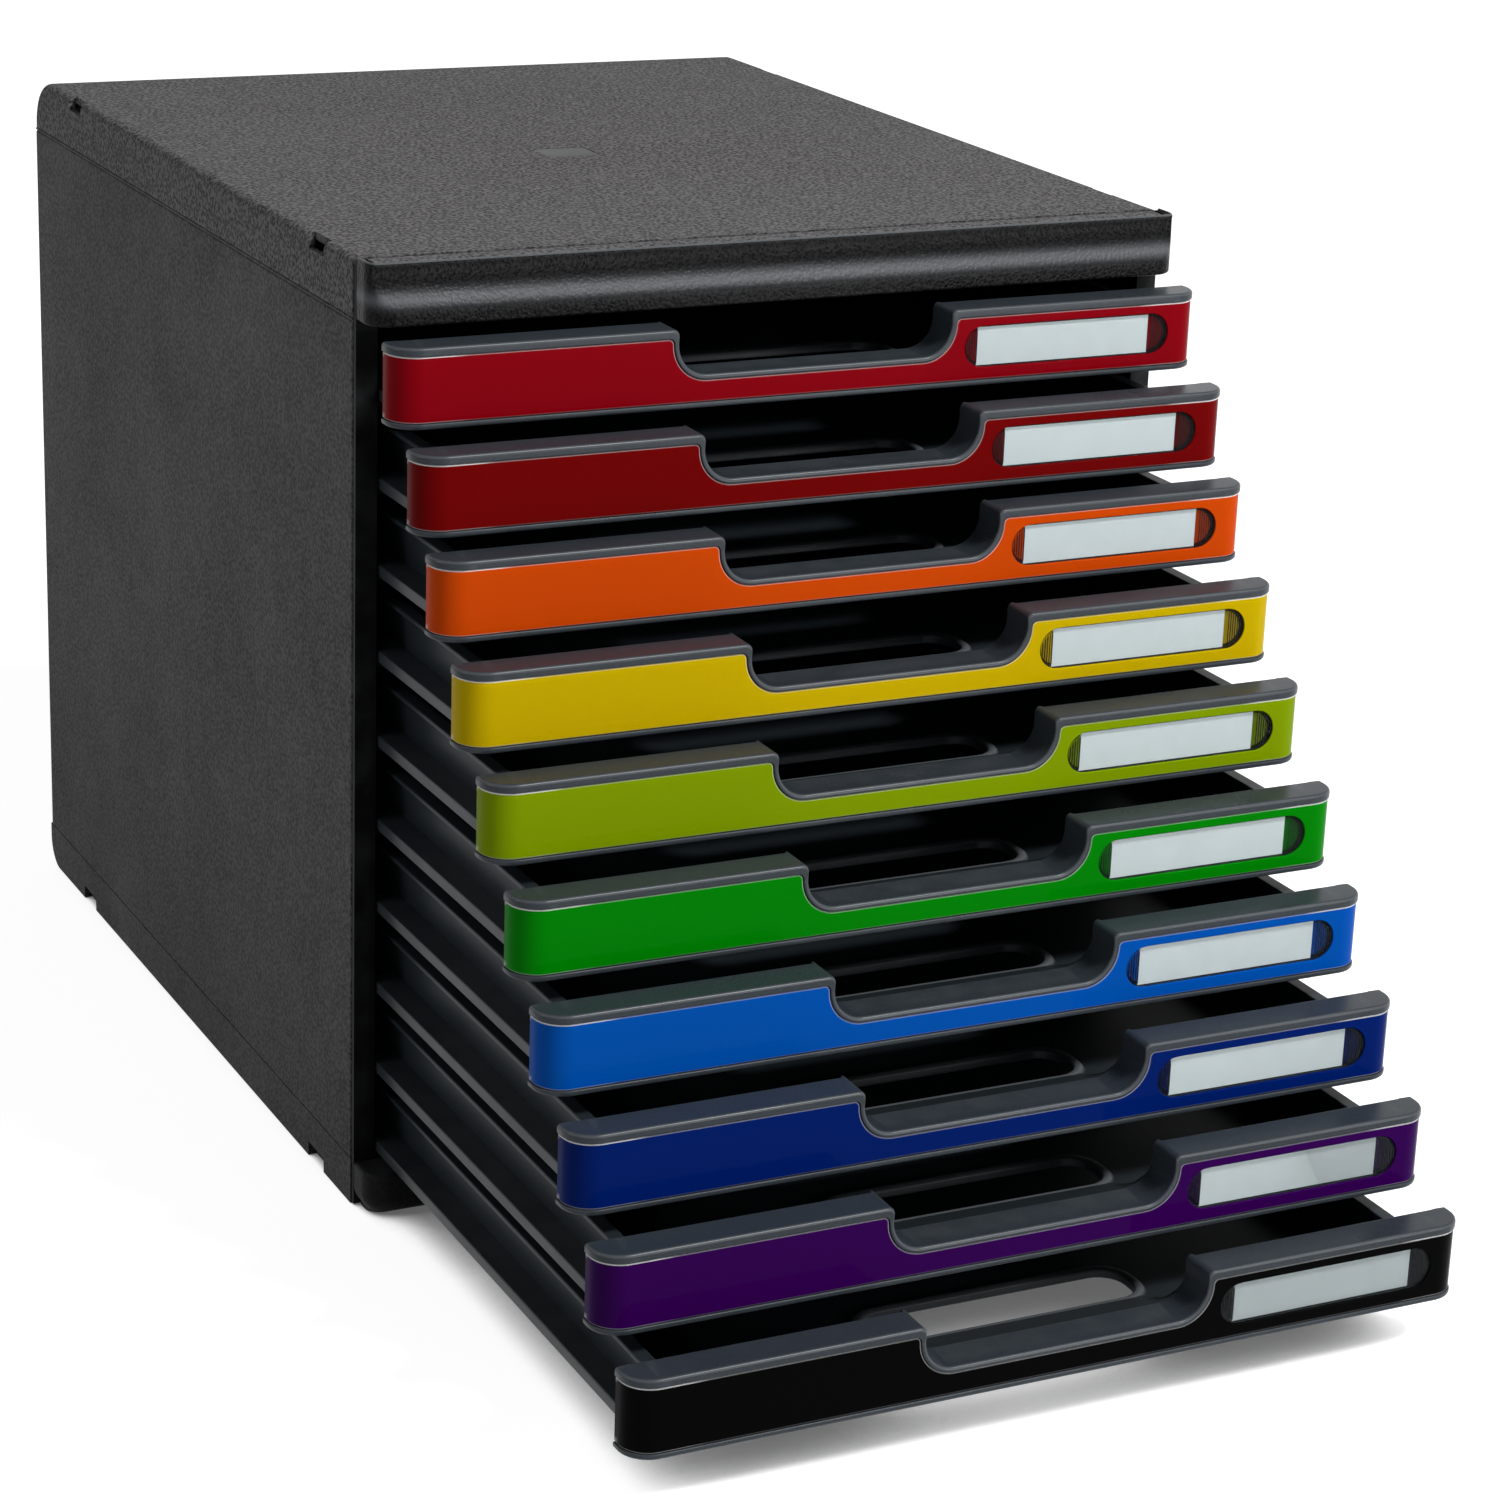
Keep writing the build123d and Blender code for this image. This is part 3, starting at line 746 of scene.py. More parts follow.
@dataclass(frozen=True)
class Cover:
    """Glossy coloured cover with the pocket for the label."""

    front: FrontShape = FrontShape()
    thickness: float = 2.6
    edge_round: float = 0.5
    glint: tuple[float, ...] = (0.0, -1.0, -1.0, -0.8, -0.3, 0.0)
    glint_reach: float = 16.0
    glint_fade: float = 6.0
    glint_least: float = 0.3
    low_glint: float = 0.35
    end_glint: float = -0.5
    pocket_depth: float = 1.8
    pocket_round: float = 0.3
    pocket_bevel: float = 0.2
    shadow_start: float = 0.45
    shadow_width: float = 1.0
    shadow_end: float = 1.4
    floor_shade: float = 0.05
    rows: int = 12

    def face_line(self, index: np.ndarray) -> np.ndarray:
        """Flat points of the face, shared out evenly between its lower and upper edge.

        Args:
            index: columns that are wanted.

        Returns:
            Points as columns, rows and the coordinates s and z.
        """
        upper = self.front.colour_edge(self.edge_round)
        low = self.front.colour_low + self.front.colour_gap + self.edge_round
        lower = self.front.below(upper, low)
        share = np.linspace(0, 1, self.rows + 1)[None, :, None]
        return lower[index, None] * (1 - share) + upper[index, None] * share

    def rim(self, shell: Moulding) -> tuple[np.ndarray, int]:
        """Add the rounded edges and the back.

        Each row follows the edge of the cover, moved in and back by a rounded edge.

        Args:
            shell: mesh to add to.

        Returns:
            The numbers of the rim's points, and how many columns it has.
        """
        inset, drop = round_over(self.edge_round, steps=4)
        high = [self.front.colour_edge(i) for i in inset] + [self.front.colour_edge(0.0)]
        level = self.front.colour_low + self.front.colour_gap
        low = [self.front.below(line, level + i) for line, i in zip(high, [*inset, 0.0])]
        depth = [*drop, self.thickness]
        lines = [*zip(high, depth), *zip(low[::-1], depth[::-1])]
        grid = np.stack([self.front.plan.bend(line[:, 0], line[:, 1], d) for line, d in lines], axis=1)
        # Painted highlights on the rounded edges: full near the corners, fainter along the straight, weaker
        # on the lower edge, and along both rear ends.
        low_glint = self.low_glint * np.array(self.glint[::-1])
        past = np.abs(high[0][:, :1]) - self.front.plan.straight + self.glint_reach
        bright = np.clip(past / self.glint_fade, self.glint_least, 1)
        mark = bright * np.concatenate([self.glint, low_glint])[None]
        mark[[0, -1]] = self.end_glint
        return shell.sheet(grid, mark=mark), len(grid)

    def mesh(self) -> bpy.types.Mesh:
        """Build the cover in the drawer's own frame.

        The face is cut at both sides of the label. Round the label it is a ring of straight lines
        from the outline of that part to the pocket's edge, each pointing away from the pocket's
        middle line, and the pocket goes on inwards along the same lines.

        Returns:
            The mesh.
        """
        shell = Moulding()
        number, columns = self.rim(shell)
        every = np.arange(columns)
        upper = self.front.colour_edge(self.edge_round)
        shoulder = self.front.recess_half + self.front.shoulder_radius
        first = int(np.argmin(np.abs(upper[:, 0] - shoulder)))
        last = int(np.argmin(np.abs(upper[:, 0] - self.front.plan.straight)))
        for part in (every[:first + 1], every[last:]):
            flat = self.face_line(part)
            shell.sheet(self.front.plan.bend(flat[..., 0], flat[..., 1], np.zeros(1)))
        flat = self.face_line(every)
        for end in (0, columns - 1):
            side = self.front.plan.bend(flat[end, :, 0], flat[end, :, 1], np.zeros(1))
            start = shell.count
            shell.points.append(side[1:-1])
            shell.marks.append(np.zeros(len(side) - 2))
            shell.count += len(side) - 2
            shell.caps.append(number[end].tolist() + list(range(start, shell.count)))
        area = flat[first:last + 1]
        border = np.concatenate([area[:-1, 0], area[-1, :-1], area[:0:-1, -1], area[0, :0:-1]])
        self.pocket(shell, border)
        return shell.make("cover")

    def pocket(self, shell: Moulding, border: np.ndarray) -> None:
        """Add the face round the label and the pocket itself.

        Args:
            shell: mesh to add to.
            border: flat outline of the part of the face that holds the pocket.
        """
        front = self.front
        radius = front.label_height / 2
        middle = np.stack([np.clip(border[:, 0], front.label_low_s + radius, front.label_high_s - radius),
                           np.full(len(border), front.label_centre_z)], axis=-1)
        away = border - middle
        reach = np.hypot(away[:, 0], away[:, 1])[:, None]
        inset, drop = round_over(self.pocket_round, steps=4)
        start = radius + self.pocket_round
        deep, bevel = self.pocket_depth, self.pocket_bevel
        rings = [(reach, 0.0, 0.0), ((reach + start) / 2, 0.0, 0.0), (start + bevel / 2, 0.0, 0.0)]
        rings += [(radius + i, d, 0.0) for i, d in zip(inset, drop)]
        # Painted shade on the pocket's wall and round the edge of its floor, with a trace over the rest of
        # the floor, carried by the mark.
        rings += [(radius, self.shadow_start, 1.0), (radius, deep - bevel, 1.0),
                  (radius - bevel, deep, 1.0), (radius - self.shadow_width, deep, 1.0),
                  (radius - self.shadow_end, deep, self.floor_shade), (0.0, deep, self.floor_shade)]
        flat = np.stack([middle + away / reach * ring for ring, _, _ in rings])
        depth = np.array([d for _, d, _ in rings])[:, None]
        mark = np.array([m for _, _, m in rings])[:, None]
        shell.sheet(self.front.plan.bend(flat[..., 0], flat[..., 1], depth), round_columns=True, mark=mark)


@dataclass(frozen=True)
class Window:
    """Clear pane over the label, with fine grip ribs at both ends."""

    front: FrontShape = FrontShape()
    fit_gap: float = 0.1
    setback: float = 0.2
    thickness: float = 1.0
    edge_round: float = 0.3
    left_gap: float = 5.2
    right_gap: float = 7.1
    rib_pitch: float = 0.85
    rib_margin: float = 0.8
    rib_radius: float = 0.2
    rib_end_gap: float = 0.3
    rib_point: float = 1.0
    rib_tip: float = 0.2
    rib_sink: float = 0.05
    rib_sides: int = 8
    turn_steps: int = 48

    def pane(self, shell: Moulding) -> None:
        """Add the pane: rings at a distance from its middle line, closed on that line.

        Args:
            shell: mesh to add to.
        """
        radius = self.front.label_height / 2 - self.fit_gap
        turn = (np.arange(self.turn_steps) + 0.5) * 4 * QUARTER / self.turn_steps
        left = self.front.label_low_s + self.fit_gap + radius
        right = self.front.label_high_s - self.fit_gap - radius
        middle = np.where(np.cos(turn) > 0, right, left)
        inset, drop = round_over(self.edge_round, steps=3)
        ring = np.concatenate([[0.0], radius - inset, radius - inset[::-1], [0.0]])[:, None]
        depth = np.concatenate([[0.0], drop, self.thickness - drop[::-1], [self.thickness]])[:, None]
        x = middle[None] + ring * np.cos(turn)[None]
        z = self.front.label_centre_z + ring * np.sin(turn)[None]
        y = np.broadcast_to(self.setback + depth, x.shape)
        shell.sheet(np.stack([x, y, z], axis=-1), round_columns=True)

    def ribs(self, shell: Moulding) -> None:
        """Add the ribs: round bars, half sunk and pointed, as long as the pane is high there.

        Half a rib's length is a leg of the right triangle whose long side is the radius of the
        pane's end and whose other leg is the rib's distance from that end's middle.

        Args:
            shell: mesh to add to.
        """
        front = self.front
        radius = front.label_height / 2 - 2 * self.fit_gap
        end_centre = (front.label_high_s - front.label_low_s - front.label_height) / 2
        centre = (front.label_high_s + front.label_low_s) / 2
        around = np.arange(self.rib_sides) * 4 * QUARTER / self.rib_sides
        for side in Side:
            gap = self.left_gap if side is Side.LEFT else self.right_gap
            for rib in range(int((gap - self.rib_margin) / self.rib_pitch)):
                past = radius - self.rib_margin - rib * self.rib_pitch
                reach = math.sqrt(radius ** 2 - max(past + self.rib_radius, 0) ** 2) - self.rib_end_gap
                shoulder = reach - self.rib_point
                z = front.label_centre_z + np.array([-reach, -shoulder, shoulder, reach])[:, None]
                size = np.array([self.rib_tip, 1, 1, self.rib_tip])[:, None] * self.rib_radius
                x = centre + side.value * (past + end_centre) + size * np.cos(around)[None]
                y = self.setback + self.rib_sink + size * np.sin(around)[None]
                shell.tube(np.stack([x, y, np.broadcast_to(z, x.shape)], axis=-1), mark=1.0)

    def mesh(self) -> bpy.types.Mesh:
        """Build the window in the drawer's own frame.

        Returns:
            The mesh.
        """
        shell = Moulding()
        self.pane(shell)
        self.ribs(shell)
        return shell.make("window")


class Plant:
    """Helps to plant nodes in a material or a node group."""

    spacing: int = 180

    def __init__(self, tree: bpy.types.NodeTree) -> None:
        """Keep the tree and start at its left edge."""
        self.tree = tree
        self.step = 0

    def join(self, value: object, socket: bpy.types.NodeSocket) -> None:
        """Give a socket its value, or link another node's output to it.

        Args:
            value: plain value or output socket.
            socket: input socket.
        """
        if isinstance(value, bpy.types.NodeSocket):
            self.tree.links.new(value, socket)
        else:
            socket.default_value = value

    def node(self, kind: str, settings: dict | None = None, **inputs: object) -> bpy.types.Node:
        """Add a node and fill its inputs, each with a value or with another node's output.

        Args:
            kind: type of the node.
            settings: plain settings of the node.
            inputs: sockets by name with underscores for spaces, or by number after the letter i.

        Returns:
            The node.
        """
        made = self.tree.nodes.new(kind)
        made.location = (self.step * self.spacing, 0)
        self.step += 1
        for key, value in (settings or {}).items():
            setattr(made, key, value)
        for key, value in inputs.items():
            numbered = key[0] == "i" and key[1:].isdigit()
            self.join(value, made.inputs[int(key[1:]) if numbered else key.replace("_", " ")])
        return made

    def maths(self, operation: str, first: object, second: object = 0.0) -> bpy.types.NodeSocket:
        """Output of a maths node."""
        return self.node("ShaderNodeMath", {"operation": operation}, i0=first, i1=second).outputs[0]

    def spread(self, value: object, low: object, high: object, to_low: object = 0.0,
               to_high: object = 1.0) -> bpy.types.NodeSocket:
        """Value mapped from one range to another and held inside it."""
        return self.node("ShaderNodeMapRange", None, Value=value, From_Min=low, From_Max=high,
                         To_Min=to_low, To_Max=to_high).outputs[0]

    def blend(self, share: object, first: object, second: object) -> bpy.types.NodeSocket:
        """Mix of two colours."""
        mixer = self.node("ShaderNodeMix", {"data_type": "RGBA"}, i0=share, i6=first, i7=second)
        return mixer.outputs[2]

    def noise(self, where: object, scale: object, detail: float, **inputs: object) -> bpy.types.NodeSocket:
        """Value of a noise at a place."""
        return self.node("ShaderNodeTexNoise", None, Vector=where, Scale=scale, Detail=detail,
                         **inputs).outputs[0]


class EffectPlant(Plant):
    """Plants one effect: a node group with its interface and the nodes inside it."""

    kinds: dict[type, str] = {type(None): "NodeSocketVector", float: "NodeSocketFloat",
                              tuple: "NodeSocketColor"}

    def __init__(self, name: str, inputs: dict[str, object], outputs: dict[str, type]) -> None:
        """Start the group.

        Args:
            name: name of the group.
            inputs: first value of each input by its name; an input without one is a vector.
            outputs: type of each output by its name.
        """
        super().__init__(bpy.data.node_groups.new(name, "ShaderNodeTree"))
        face = self.tree.interface
        for label, value in inputs.items():
            socket = face.new_socket(label, in_out="INPUT", socket_type=self.kinds[type(value)])
            if value is not None:
                socket.default_value = value
        for label, kind in outputs.items():
            face.new_socket(label, in_out="OUTPUT", socket_type=self.kinds[kind])
        self.given = self.node("NodeGroupInput").outputs
        self.result = self.node("NodeGroupOutput").inputs

    def rate(self) -> bpy.types.NodeSocket:
        """Scale of a texture whose cells have the group's size in millimetres."""
        return self.maths("DIVIDE", 1 / METRE, self.given["Size"])

    def hand_over(self, **values: bpy.types.NodeSocket) -> bpy.types.NodeTree:
        """Link the outputs of the group.

        Args:
            values: what each output gives, by its name.

        Returns:
            The group.
        """
        for label, value in values.items():
            self.join(value, self.result[label])
        return self.tree


@dataclass
class Effects:
    """Effects that the finishes share, each a node group that is built once."""

    cell_share: float = 0.6
    grain_detail: float = 3.0
    hollows: tuple[float, float] = (0.25, 0.65)
    cloud_detail: float = 4.0
    cloud_roughness: float = 0.6
    cloud_distortion: float = 0.4
    cloud_range: tuple[float, float] = (0.3, 0.7)
    cloud_gain: float = 1.25
    edge_range: tuple[float, float] = (0.51, 0.56)
    wear_scale: float = 90.0
    wear_range: tuple[float, float] = (0.35, 0.65)
    wear_least: float = 0.3

    def __post_init__(self) -> None:
        """Build every group."""
        self.grain = self.make_grain()
        self.drift = self.make_drift()
        self.wear = self.make_wear()

    def make_grain(self) -> bpy.types.NodeTree:
        """Moulded grain: small cells softened by noise, as a height and a mask of the hollows.

        Returns:
            The group, with places, a size in millimetres and a roundness as its inputs.
        """
        plant = EffectPlant("moulded_grain", {"Place": None, "Size": 1.0, "Roundness": 0.5},
                            {"Height": float, "Hollows": float})
        rate, where = plant.rate(), plant.given["Place"]
        cells = plant.node("ShaderNodeTexVoronoi", {"feature": "SMOOTH_F1"}, Vector=where, Scale=rate,
                           Smoothness=plant.given["Roundness"]).outputs["Distance"]
        noise = plant.noise(where, rate, self.grain_detail)
        height = plant.maths("ADD", plant.maths("MULTIPLY", cells, self.cell_share), noise)
        return plant.hand_over(Height=height, Hollows=plant.spread(cells, *self.hollows))

    def make_drift(self) -> bpy.types.NodeTree:
        """Slow drift of colour over a moulding, with faint flow lines, as a colour and a mask.

        Returns:
            The group, with places, a colour, an amount and a size in millimetres as its inputs.
        """
        plant = EffectPlant("colour_drift",
                            {"Place": None, "Colour": (0.5, 0.5, 0.5, 1), "Amount": 0.1, "Size": 60.0},
                            {"Colour": tuple, "Mask": float})
        colour = plant.given["Colour"]
        cloud = plant.noise(plant.given["Place"], plant.rate(), self.cloud_detail,
                            Roughness=self.cloud_roughness, Distortion=self.cloud_distortion)
        mask = plant.spread(cloud, *self.cloud_range)
        share = plant.maths("MULTIPLY", mask, plant.given["Amount"])
        lighter = plant.node("ShaderNodeHueSaturation", None, Color=colour, Value=self.cloud_gain)
        return plant.hand_over(Colour=plant.blend(share, colour, lighter.outputs[0]), Mask=mask)

    def make_wear(self) -> bpy.types.NodeTree:
        """Rubbed edges: a mask that is strong on convex edges and broken up by noise.

        Returns:
            The group, with places and an amount as its inputs.
        """
        plant = EffectPlant("edge_wear", {"Place": None, "Amount": 0.5}, {"Mask": float})
        shape = plant.node("ShaderNodeNewGeometry")
        edge = plant.spread(shape.outputs["Pointiness"], *self.edge_range)
        noise = plant.noise(plant.given["Place"], self.wear_scale, self.cloud_detail)
        broken = plant.maths("MULTIPLY", edge, plant.spread(noise, *self.wear_range, self.wear_least))
        return plant.hand_over(Mask=plant.maths("MULTIPLY", broken, plant.given["Amount"]))


class FinishPlant(Plant):
    """Plants the nodes of one material round its shader."""

    def __init__(self, name: str) -> None:
        """Start the material and take places on the piece itself.

        Args:
            name: name of the material.
        """
        self.material = bpy.data.materials.new(name)
        self.material.use_nodes = True
        super().__init__(self.material.node_tree)
        self.shader = self.tree.nodes["Principled BSDF"]
        self.where = self.node("ShaderNodeTexCoord").outputs["Object"]

    def effect(self, group: bpy.types.NodeTree, **inputs: object) -> bpy.types.NodeOutputs:
        """Outputs of a shared effect at the places on the piece."""
        return self.node("ShaderNodeGroup", {"node_tree": group}, Place=self.where, **inputs).outputs

    def mark(self) -> bpy.types.NodeSocket:
        """The value that the mesh stores with its points."""
        return self.node("ShaderNodeAttribute", {"attribute_name": "mark"}).outputs["Fac"]

    def bump(self, height: bpy.types.NodeSocket, strength: float, depth: float) -> bpy.types.NodeSocket:
        """Normal that a height gives, at a strength and a depth in millimetres."""
        return self.node("ShaderNodeBump", None, Height=height, Strength=strength,
                         Distance=depth * METRE).outputs[0]

    def complete(self, **inputs: object) -> bpy.types.Material:
        """Fill the shader's inputs.

        Args:
            inputs: values or outputs of nodes, named with underscores for spaces.

        Returns:
            The material.
        """
        for key, value in inputs.items():
            self.join(value, self.shader.inputs[key.replace("_", " ")])
        return self.material


def towards(colour: Colour, level: float, share: float) -> Colour:
    """Colour moved a share of the way towards a grey level, with full opacity."""
    return tuple(part * (1 - share) + level * share for part in colour[:3]) + (1.0,)


@dataclass(frozen=True)
class MouldedPlastic:
    """Moulded plastic with grain, drifting colour, edge wear and painted highlights along its marks."""

    name: str
    colour: Colour
    grain: Grain
    roughness: float
    roughness_drift: float = 0.06
    specular: float = 0.3
    drift: float = 0.25
    speckle: float = 0.15
    wear: float = 0.25
    # Strength of the painted highlight where the mesh's mark is set, and the light colour that this painted
    # highlight and real edge wear both blend towards.
    highlight_paint: float = 0.5
    wear_and_highlight: Colour = (0.16, 0.17, 0.18, 1.0)
    bump_gain: float = 2.0

    def make(self, effects: Effects) -> bpy.types.Material:
        """Build the material.

        Args:
            effects: shared node groups.

        Returns:
            The material.
        """
        plant = FinishPlant(self.name)
        plant.material.diffuse_color = self.colour
        size, depth = self.grain.value
        drift = plant.effect(effects.drift, Colour=self.colour, Amount=self.drift)
        wear = plant.effect(effects.wear, Amount=self.wear)
        grain = plant.effect(effects.grain, Size=size)
        pitted = plant.blend(grain["Hollows"], towards(self.colour, 0, self.speckle), drift["Colour"])
        # Painted highlight from the mark, joined with real edge wear from the pointiness.
        wear_and_highlight_mask = plant.maths("MAXIMUM", plant.maths("MULTIPLY", plant.mark(), self.highlight_paint), wear["Mask"])
        return plant.complete(
            Base_Color=plant.blend(wear_and_highlight_mask, pitted, self.wear_and_highlight),
            Roughness=plant.spread(drift["Mask"], 0.0, 1.0, self.roughness - self.roughness_drift,
                                   self.roughness + self.roughness_drift),
            Normal=plant.bump(grain["Height"], min(1.0, depth * self.bump_gain), depth),
            Specular_IOR_Level=self.specular)


@dataclass(frozen=True)
class GlossyCover:
    """Polished coloured plastic: faint ripple, dust marks, painted shade in the label pocket and painted
    highlights on its edges.
    """

    name: str
    colour: Colour
    roughness: float = 0.07
    specular: float = 0.014
    pocket_shade: float = 0.08
    glint_strength: float = 0.8
    drift: float = 0.15
    drift_size: float = 120.0
    dust_scale: float = 420.0
    dust_detail: float = 2.0
    dust_range: tuple[float, float] = (0.62, 0.75)
    dust_roughness: float = 0.12
    ripple: float = 0.06

    def make(self, effects: Effects) -> bpy.types.Material:
        """Build the material.

        Args:
            effects: shared node groups.

        Returns:
            The material.
        """
        plant = FinishPlant(self.name)
        plant.material.diffuse_color = self.colour
        size, depth = Grain.POLISHED.value
        drift = plant.effect(effects.drift, Colour=self.colour, Amount=self.drift, Size=self.drift_size)
        mark = plant.mark()
        # Painted shade where the mark is above nought, painted highlight where it is below nought.
        dark = towards(self.colour, 0, 1 - self.pocket_shade)
        light = towards(self.colour, 1, self.glint_strength)
        shaded = plant.blend(plant.spread(mark, 0.0, 1.0), drift["Colour"], dark)
        dust = plant.noise(plant.where, self.dust_scale, self.dust_detail)
        ripple = plant.effect(effects.grain, Size=size, Roundness=1.0)
        return plant.complete(
            Base_Color=plant.blend(plant.spread(mark, 0.0, -1.0), shaded, light),
            Roughness=plant.spread(dust, *self.dust_range, self.roughness,
                                   self.roughness + self.dust_roughness),
            Normal=plant.bump(ripple["Height"], self.ripple, depth),
            Specular_IOR_Level=self.specular)


@dataclass(frozen=True)
class ClearPlastic:
    """Clear window plastic: see-through in the middle, glossier towards grazing views, ribs painted dark.
    """

    name: str = "window_clear"
    tint: Colour = (0.06, 0.07, 0.075, 1.0)
    # Near-black colour and high opacity of the ribs: painted shade for the dark lines the ribs show.
    rib_painted_shade: Colour = (0.004, 0.004, 0.005, 1.0)
    veil: float = 0.02
    rib_veil: float = 0.65
    specular: float = 0.15
    drift: float = 0.3
    refraction: float = 1.49
    gloss_share: float = 0.4
    roughness: tuple[float, float] = (0.04, 0.09)

    def make(self, effects: Effects) -> bpy.types.Material:
        """Build the material.

        Args:
            effects: shared node groups.

        Returns:
            The material.
        """
        plant = FinishPlant(self.name)
        drift = plant.effect(effects.drift, Colour=self.tint, Amount=self.drift)
        rib = plant.mark()
        gloss = plant.node("ShaderNodeFresnel", None, IOR=self.refraction).outputs[0]
        clear = plant.maths("ADD", plant.maths("MULTIPLY", gloss, self.gloss_share), self.veil)
        return plant.complete(
            Base_Color=plant.blend(rib, drift["Colour"], self.rib_painted_shade),
            Alpha=plant.spread(rib, 0.0, 1.0, clear, self.rib_veil),
            Roughness=plant.spread(drift["Mask"], 0.0, 1.0, *self.roughness),
            Specular_IOR_Level=self.specular)


@dataclass(frozen=True)
class CardPaper:
    """Pale label card with a faint fibre texture."""

    name: str = "card_white"
    colour: Colour = srgb(213, 225, 227)
    drift: float = 0.25
    drift_size: float = 8.0
    roughness: tuple[float, float] = (0.6, 0.72)
    fibre_scale: float = 2500.0
    fibre_detail: float = 3.0
    fibre_strength: float = 0.15
    fibre_depth: float = 0.02

    def make(self, effects: Effects) -> bpy.types.Material:
        """Build the material.

        Args:
            effects: shared node groups.

        Returns:
            The material.
        """
        plant = FinishPlant(self.name)
        drift = plant.effect(effects.drift, Colour=self.colour, Amount=self.drift, Size=self.drift_size)
        fibre = plant.noise(plant.where, self.fibre_scale, self.fibre_detail)
        return plant.complete(
            Base_Color=drift["Colour"],
            Roughness=plant.spread(drift["Mask"], 0.0, 1.0, *self.roughness),
            Normal=plant.bump(fibre, self.fibre_strength, self.fibre_depth))


COVER_COLOURS = (
    srgb(122, 0, 12),
    srgb(100, 0, 1),
    srgb(186, 63, 2),
    srgb(181, 155, 0),
    srgb(114, 138, 0),
    srgb(0, 118, 3),
    srgb(0, 72, 158),
    srgb(0, 25, 92),
    srgb(44, 0, 70),
    srgb(3, 3, 3),
)


@dataclass
class Drawers:
    """The ten drawers, each with the same moulded pieces and its own colour."""

    effects: Effects
    front: FrontShape = FrontShape()
    colours: tuple[Colour, ...] = COVER_COLOURS
    grey: MouldedPlastic = MouldedPlastic(
        "tray_grey", srgb(44, 50, 56), Grain.SATIN, 0.3, specular=0.15, highlight_paint=0.3, wear=0.12)
    # Darker copy of the tray grey for the tray body: painted shade on its walls, floor and flanges.
    shaded_grey: MouldedPlastic = MouldedPlastic(
        "tray_grey_shaded", srgb(35, 41, 45), Grain.SATIN, 0.36, specular=0.12, highlight_paint=0.6, wear=0.1)

    def build(self) -> None:
        """Make the pieces once and set a copy of each in every drawer."""
        grey = self.grey.make(self.effects)
        shaded_grey = self.shaded_grey.make(self.effects)
        clear = ClearPlastic().make(self.effects)
        paper = CardPaper().make(self.effects)
        meshes = [made.mesh() for made in (Bezel(), Tray(), Cover(), Window())]
        for number, colour in enumerate(self.colours, start=1):
            body, cover = f"drawer_{number:02d}", f"cover_{number:02d}"
            low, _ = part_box(f"{body}_front_cover")
            bottom = low.z - (self.front.colour_low + self.front.colour_gap) * METRE
            glossy = GlossyCover(cover, colour).make(self.effects)
            rows = (("bezel", grey, "tray_grey", "tray"),
                    ("tray_body", shaded_grey, "tray_grey", "tray"),
                    ("cover_shell", glossy, cover, "front_cover"),
                    ("window_pane", clear, "window_clear", "label_window"))
            for mesh, (piece, finish, slot, node) in zip(meshes, rows):
                place(mesh, f"{body}_{piece}", finish, body, (f"{body}_{node}",),
                      (0.0, low.y, bottom))
            dress(f"{body}_label_card", paper)
        for mesh in meshes:
            bpy.data.meshes.remove(mesh)


def dress(node: str, finish: bpy.types.Material) -> None:
    """Give a CAD node a finish.

    Args:
        node: name of the node.
        finish: its material.
    """
    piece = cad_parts[node]
    piece.data.materials.clear()
    piece.data.materials.append(finish)
    log.info("node %s dressed", node)


@dataclass(frozen=True)
class Trim:
    """Grained bar across the front of the case, bent round its corners and open at the rear.

    Its closed profile is given as depth behind the face, height and cut. The cut is a depth that
    runs straight across the box, so it meets the round corners in a mitre.
    """

    plan: Plan = Plan(half_width=143.5, corner_radius=7.5, depth=14.0, bend_limit=2.4)
    wall: float = 2.4
    soft: float = 0.8

    def outline(self, height: float) -> tuple[np.ndarray, np.ndarray, np.ndarray, np.ndarray]:
        """Face of the trim from its foot to its top: depths, heights, cuts and marks of painted highlights.
        """
        raise NotImplementedError

    def mesh(self, name: str, height: float, inner: float) -> bpy.types.Mesh:
        """Mesh of a trim with its front line at zero depth.

        Where the cut and the bent bar come close, the larger depth is raised by the square of what
        is left of the soft width, over four times that width, which rounds the edge between them.

        Args:
            name: name of the mesh.
            height: height of the trim.
            inner: depth of the hollow's front.

        Returns:
            The mesh.
        """
        back = self.plan.depth
        depth, level, cut, mark = self.outline(height)
        top = level[-1]
        depth = np.concatenate([[back], depth, [back, back, inner, inner, back]])
        hollow = top - self.wall
        level = np.concatenate([[0.0], level, [top, hollow, hollow, self.wall, self.wall]])
        cut = np.concatenate([[-self.soft], cut, np.full(5, -self.soft)])
        mark = np.concatenate([[0.0], mark, np.zeros(5)])
        s = self.plan.whole_run()[:, None]
        points = self.plan.bend(s, level[None], depth[None], back)
        gap = np.maximum(self.soft - np.abs(points[..., 1] - cut), 0)
        points[..., 1] = np.maximum(points[..., 1], cut) + gap ** 2 / (4 * self.soft)
        shell = Moulding()
        shell.tube(points, mark[None])
        return shell.make(name)

    def build(self, node: str, sink: float, inner: float, finish: bpy.types.Material) -> None:
        """Make the trim in the place of its CAD node.

        Args:
            node: name of the node.
            sink: how much lower the trim ends.
            inner: depth of the hollow's front.
            finish: material of the trim.
        """
        low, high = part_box(node)
        mesh = self.mesh(node, (high.z - low.z) / METRE - sink, inner)
        place(mesh, f"case_{node}", finish, "case", (node,), (0.0, low.y, low.z))
        bpy.data.meshes.remove(mesh)


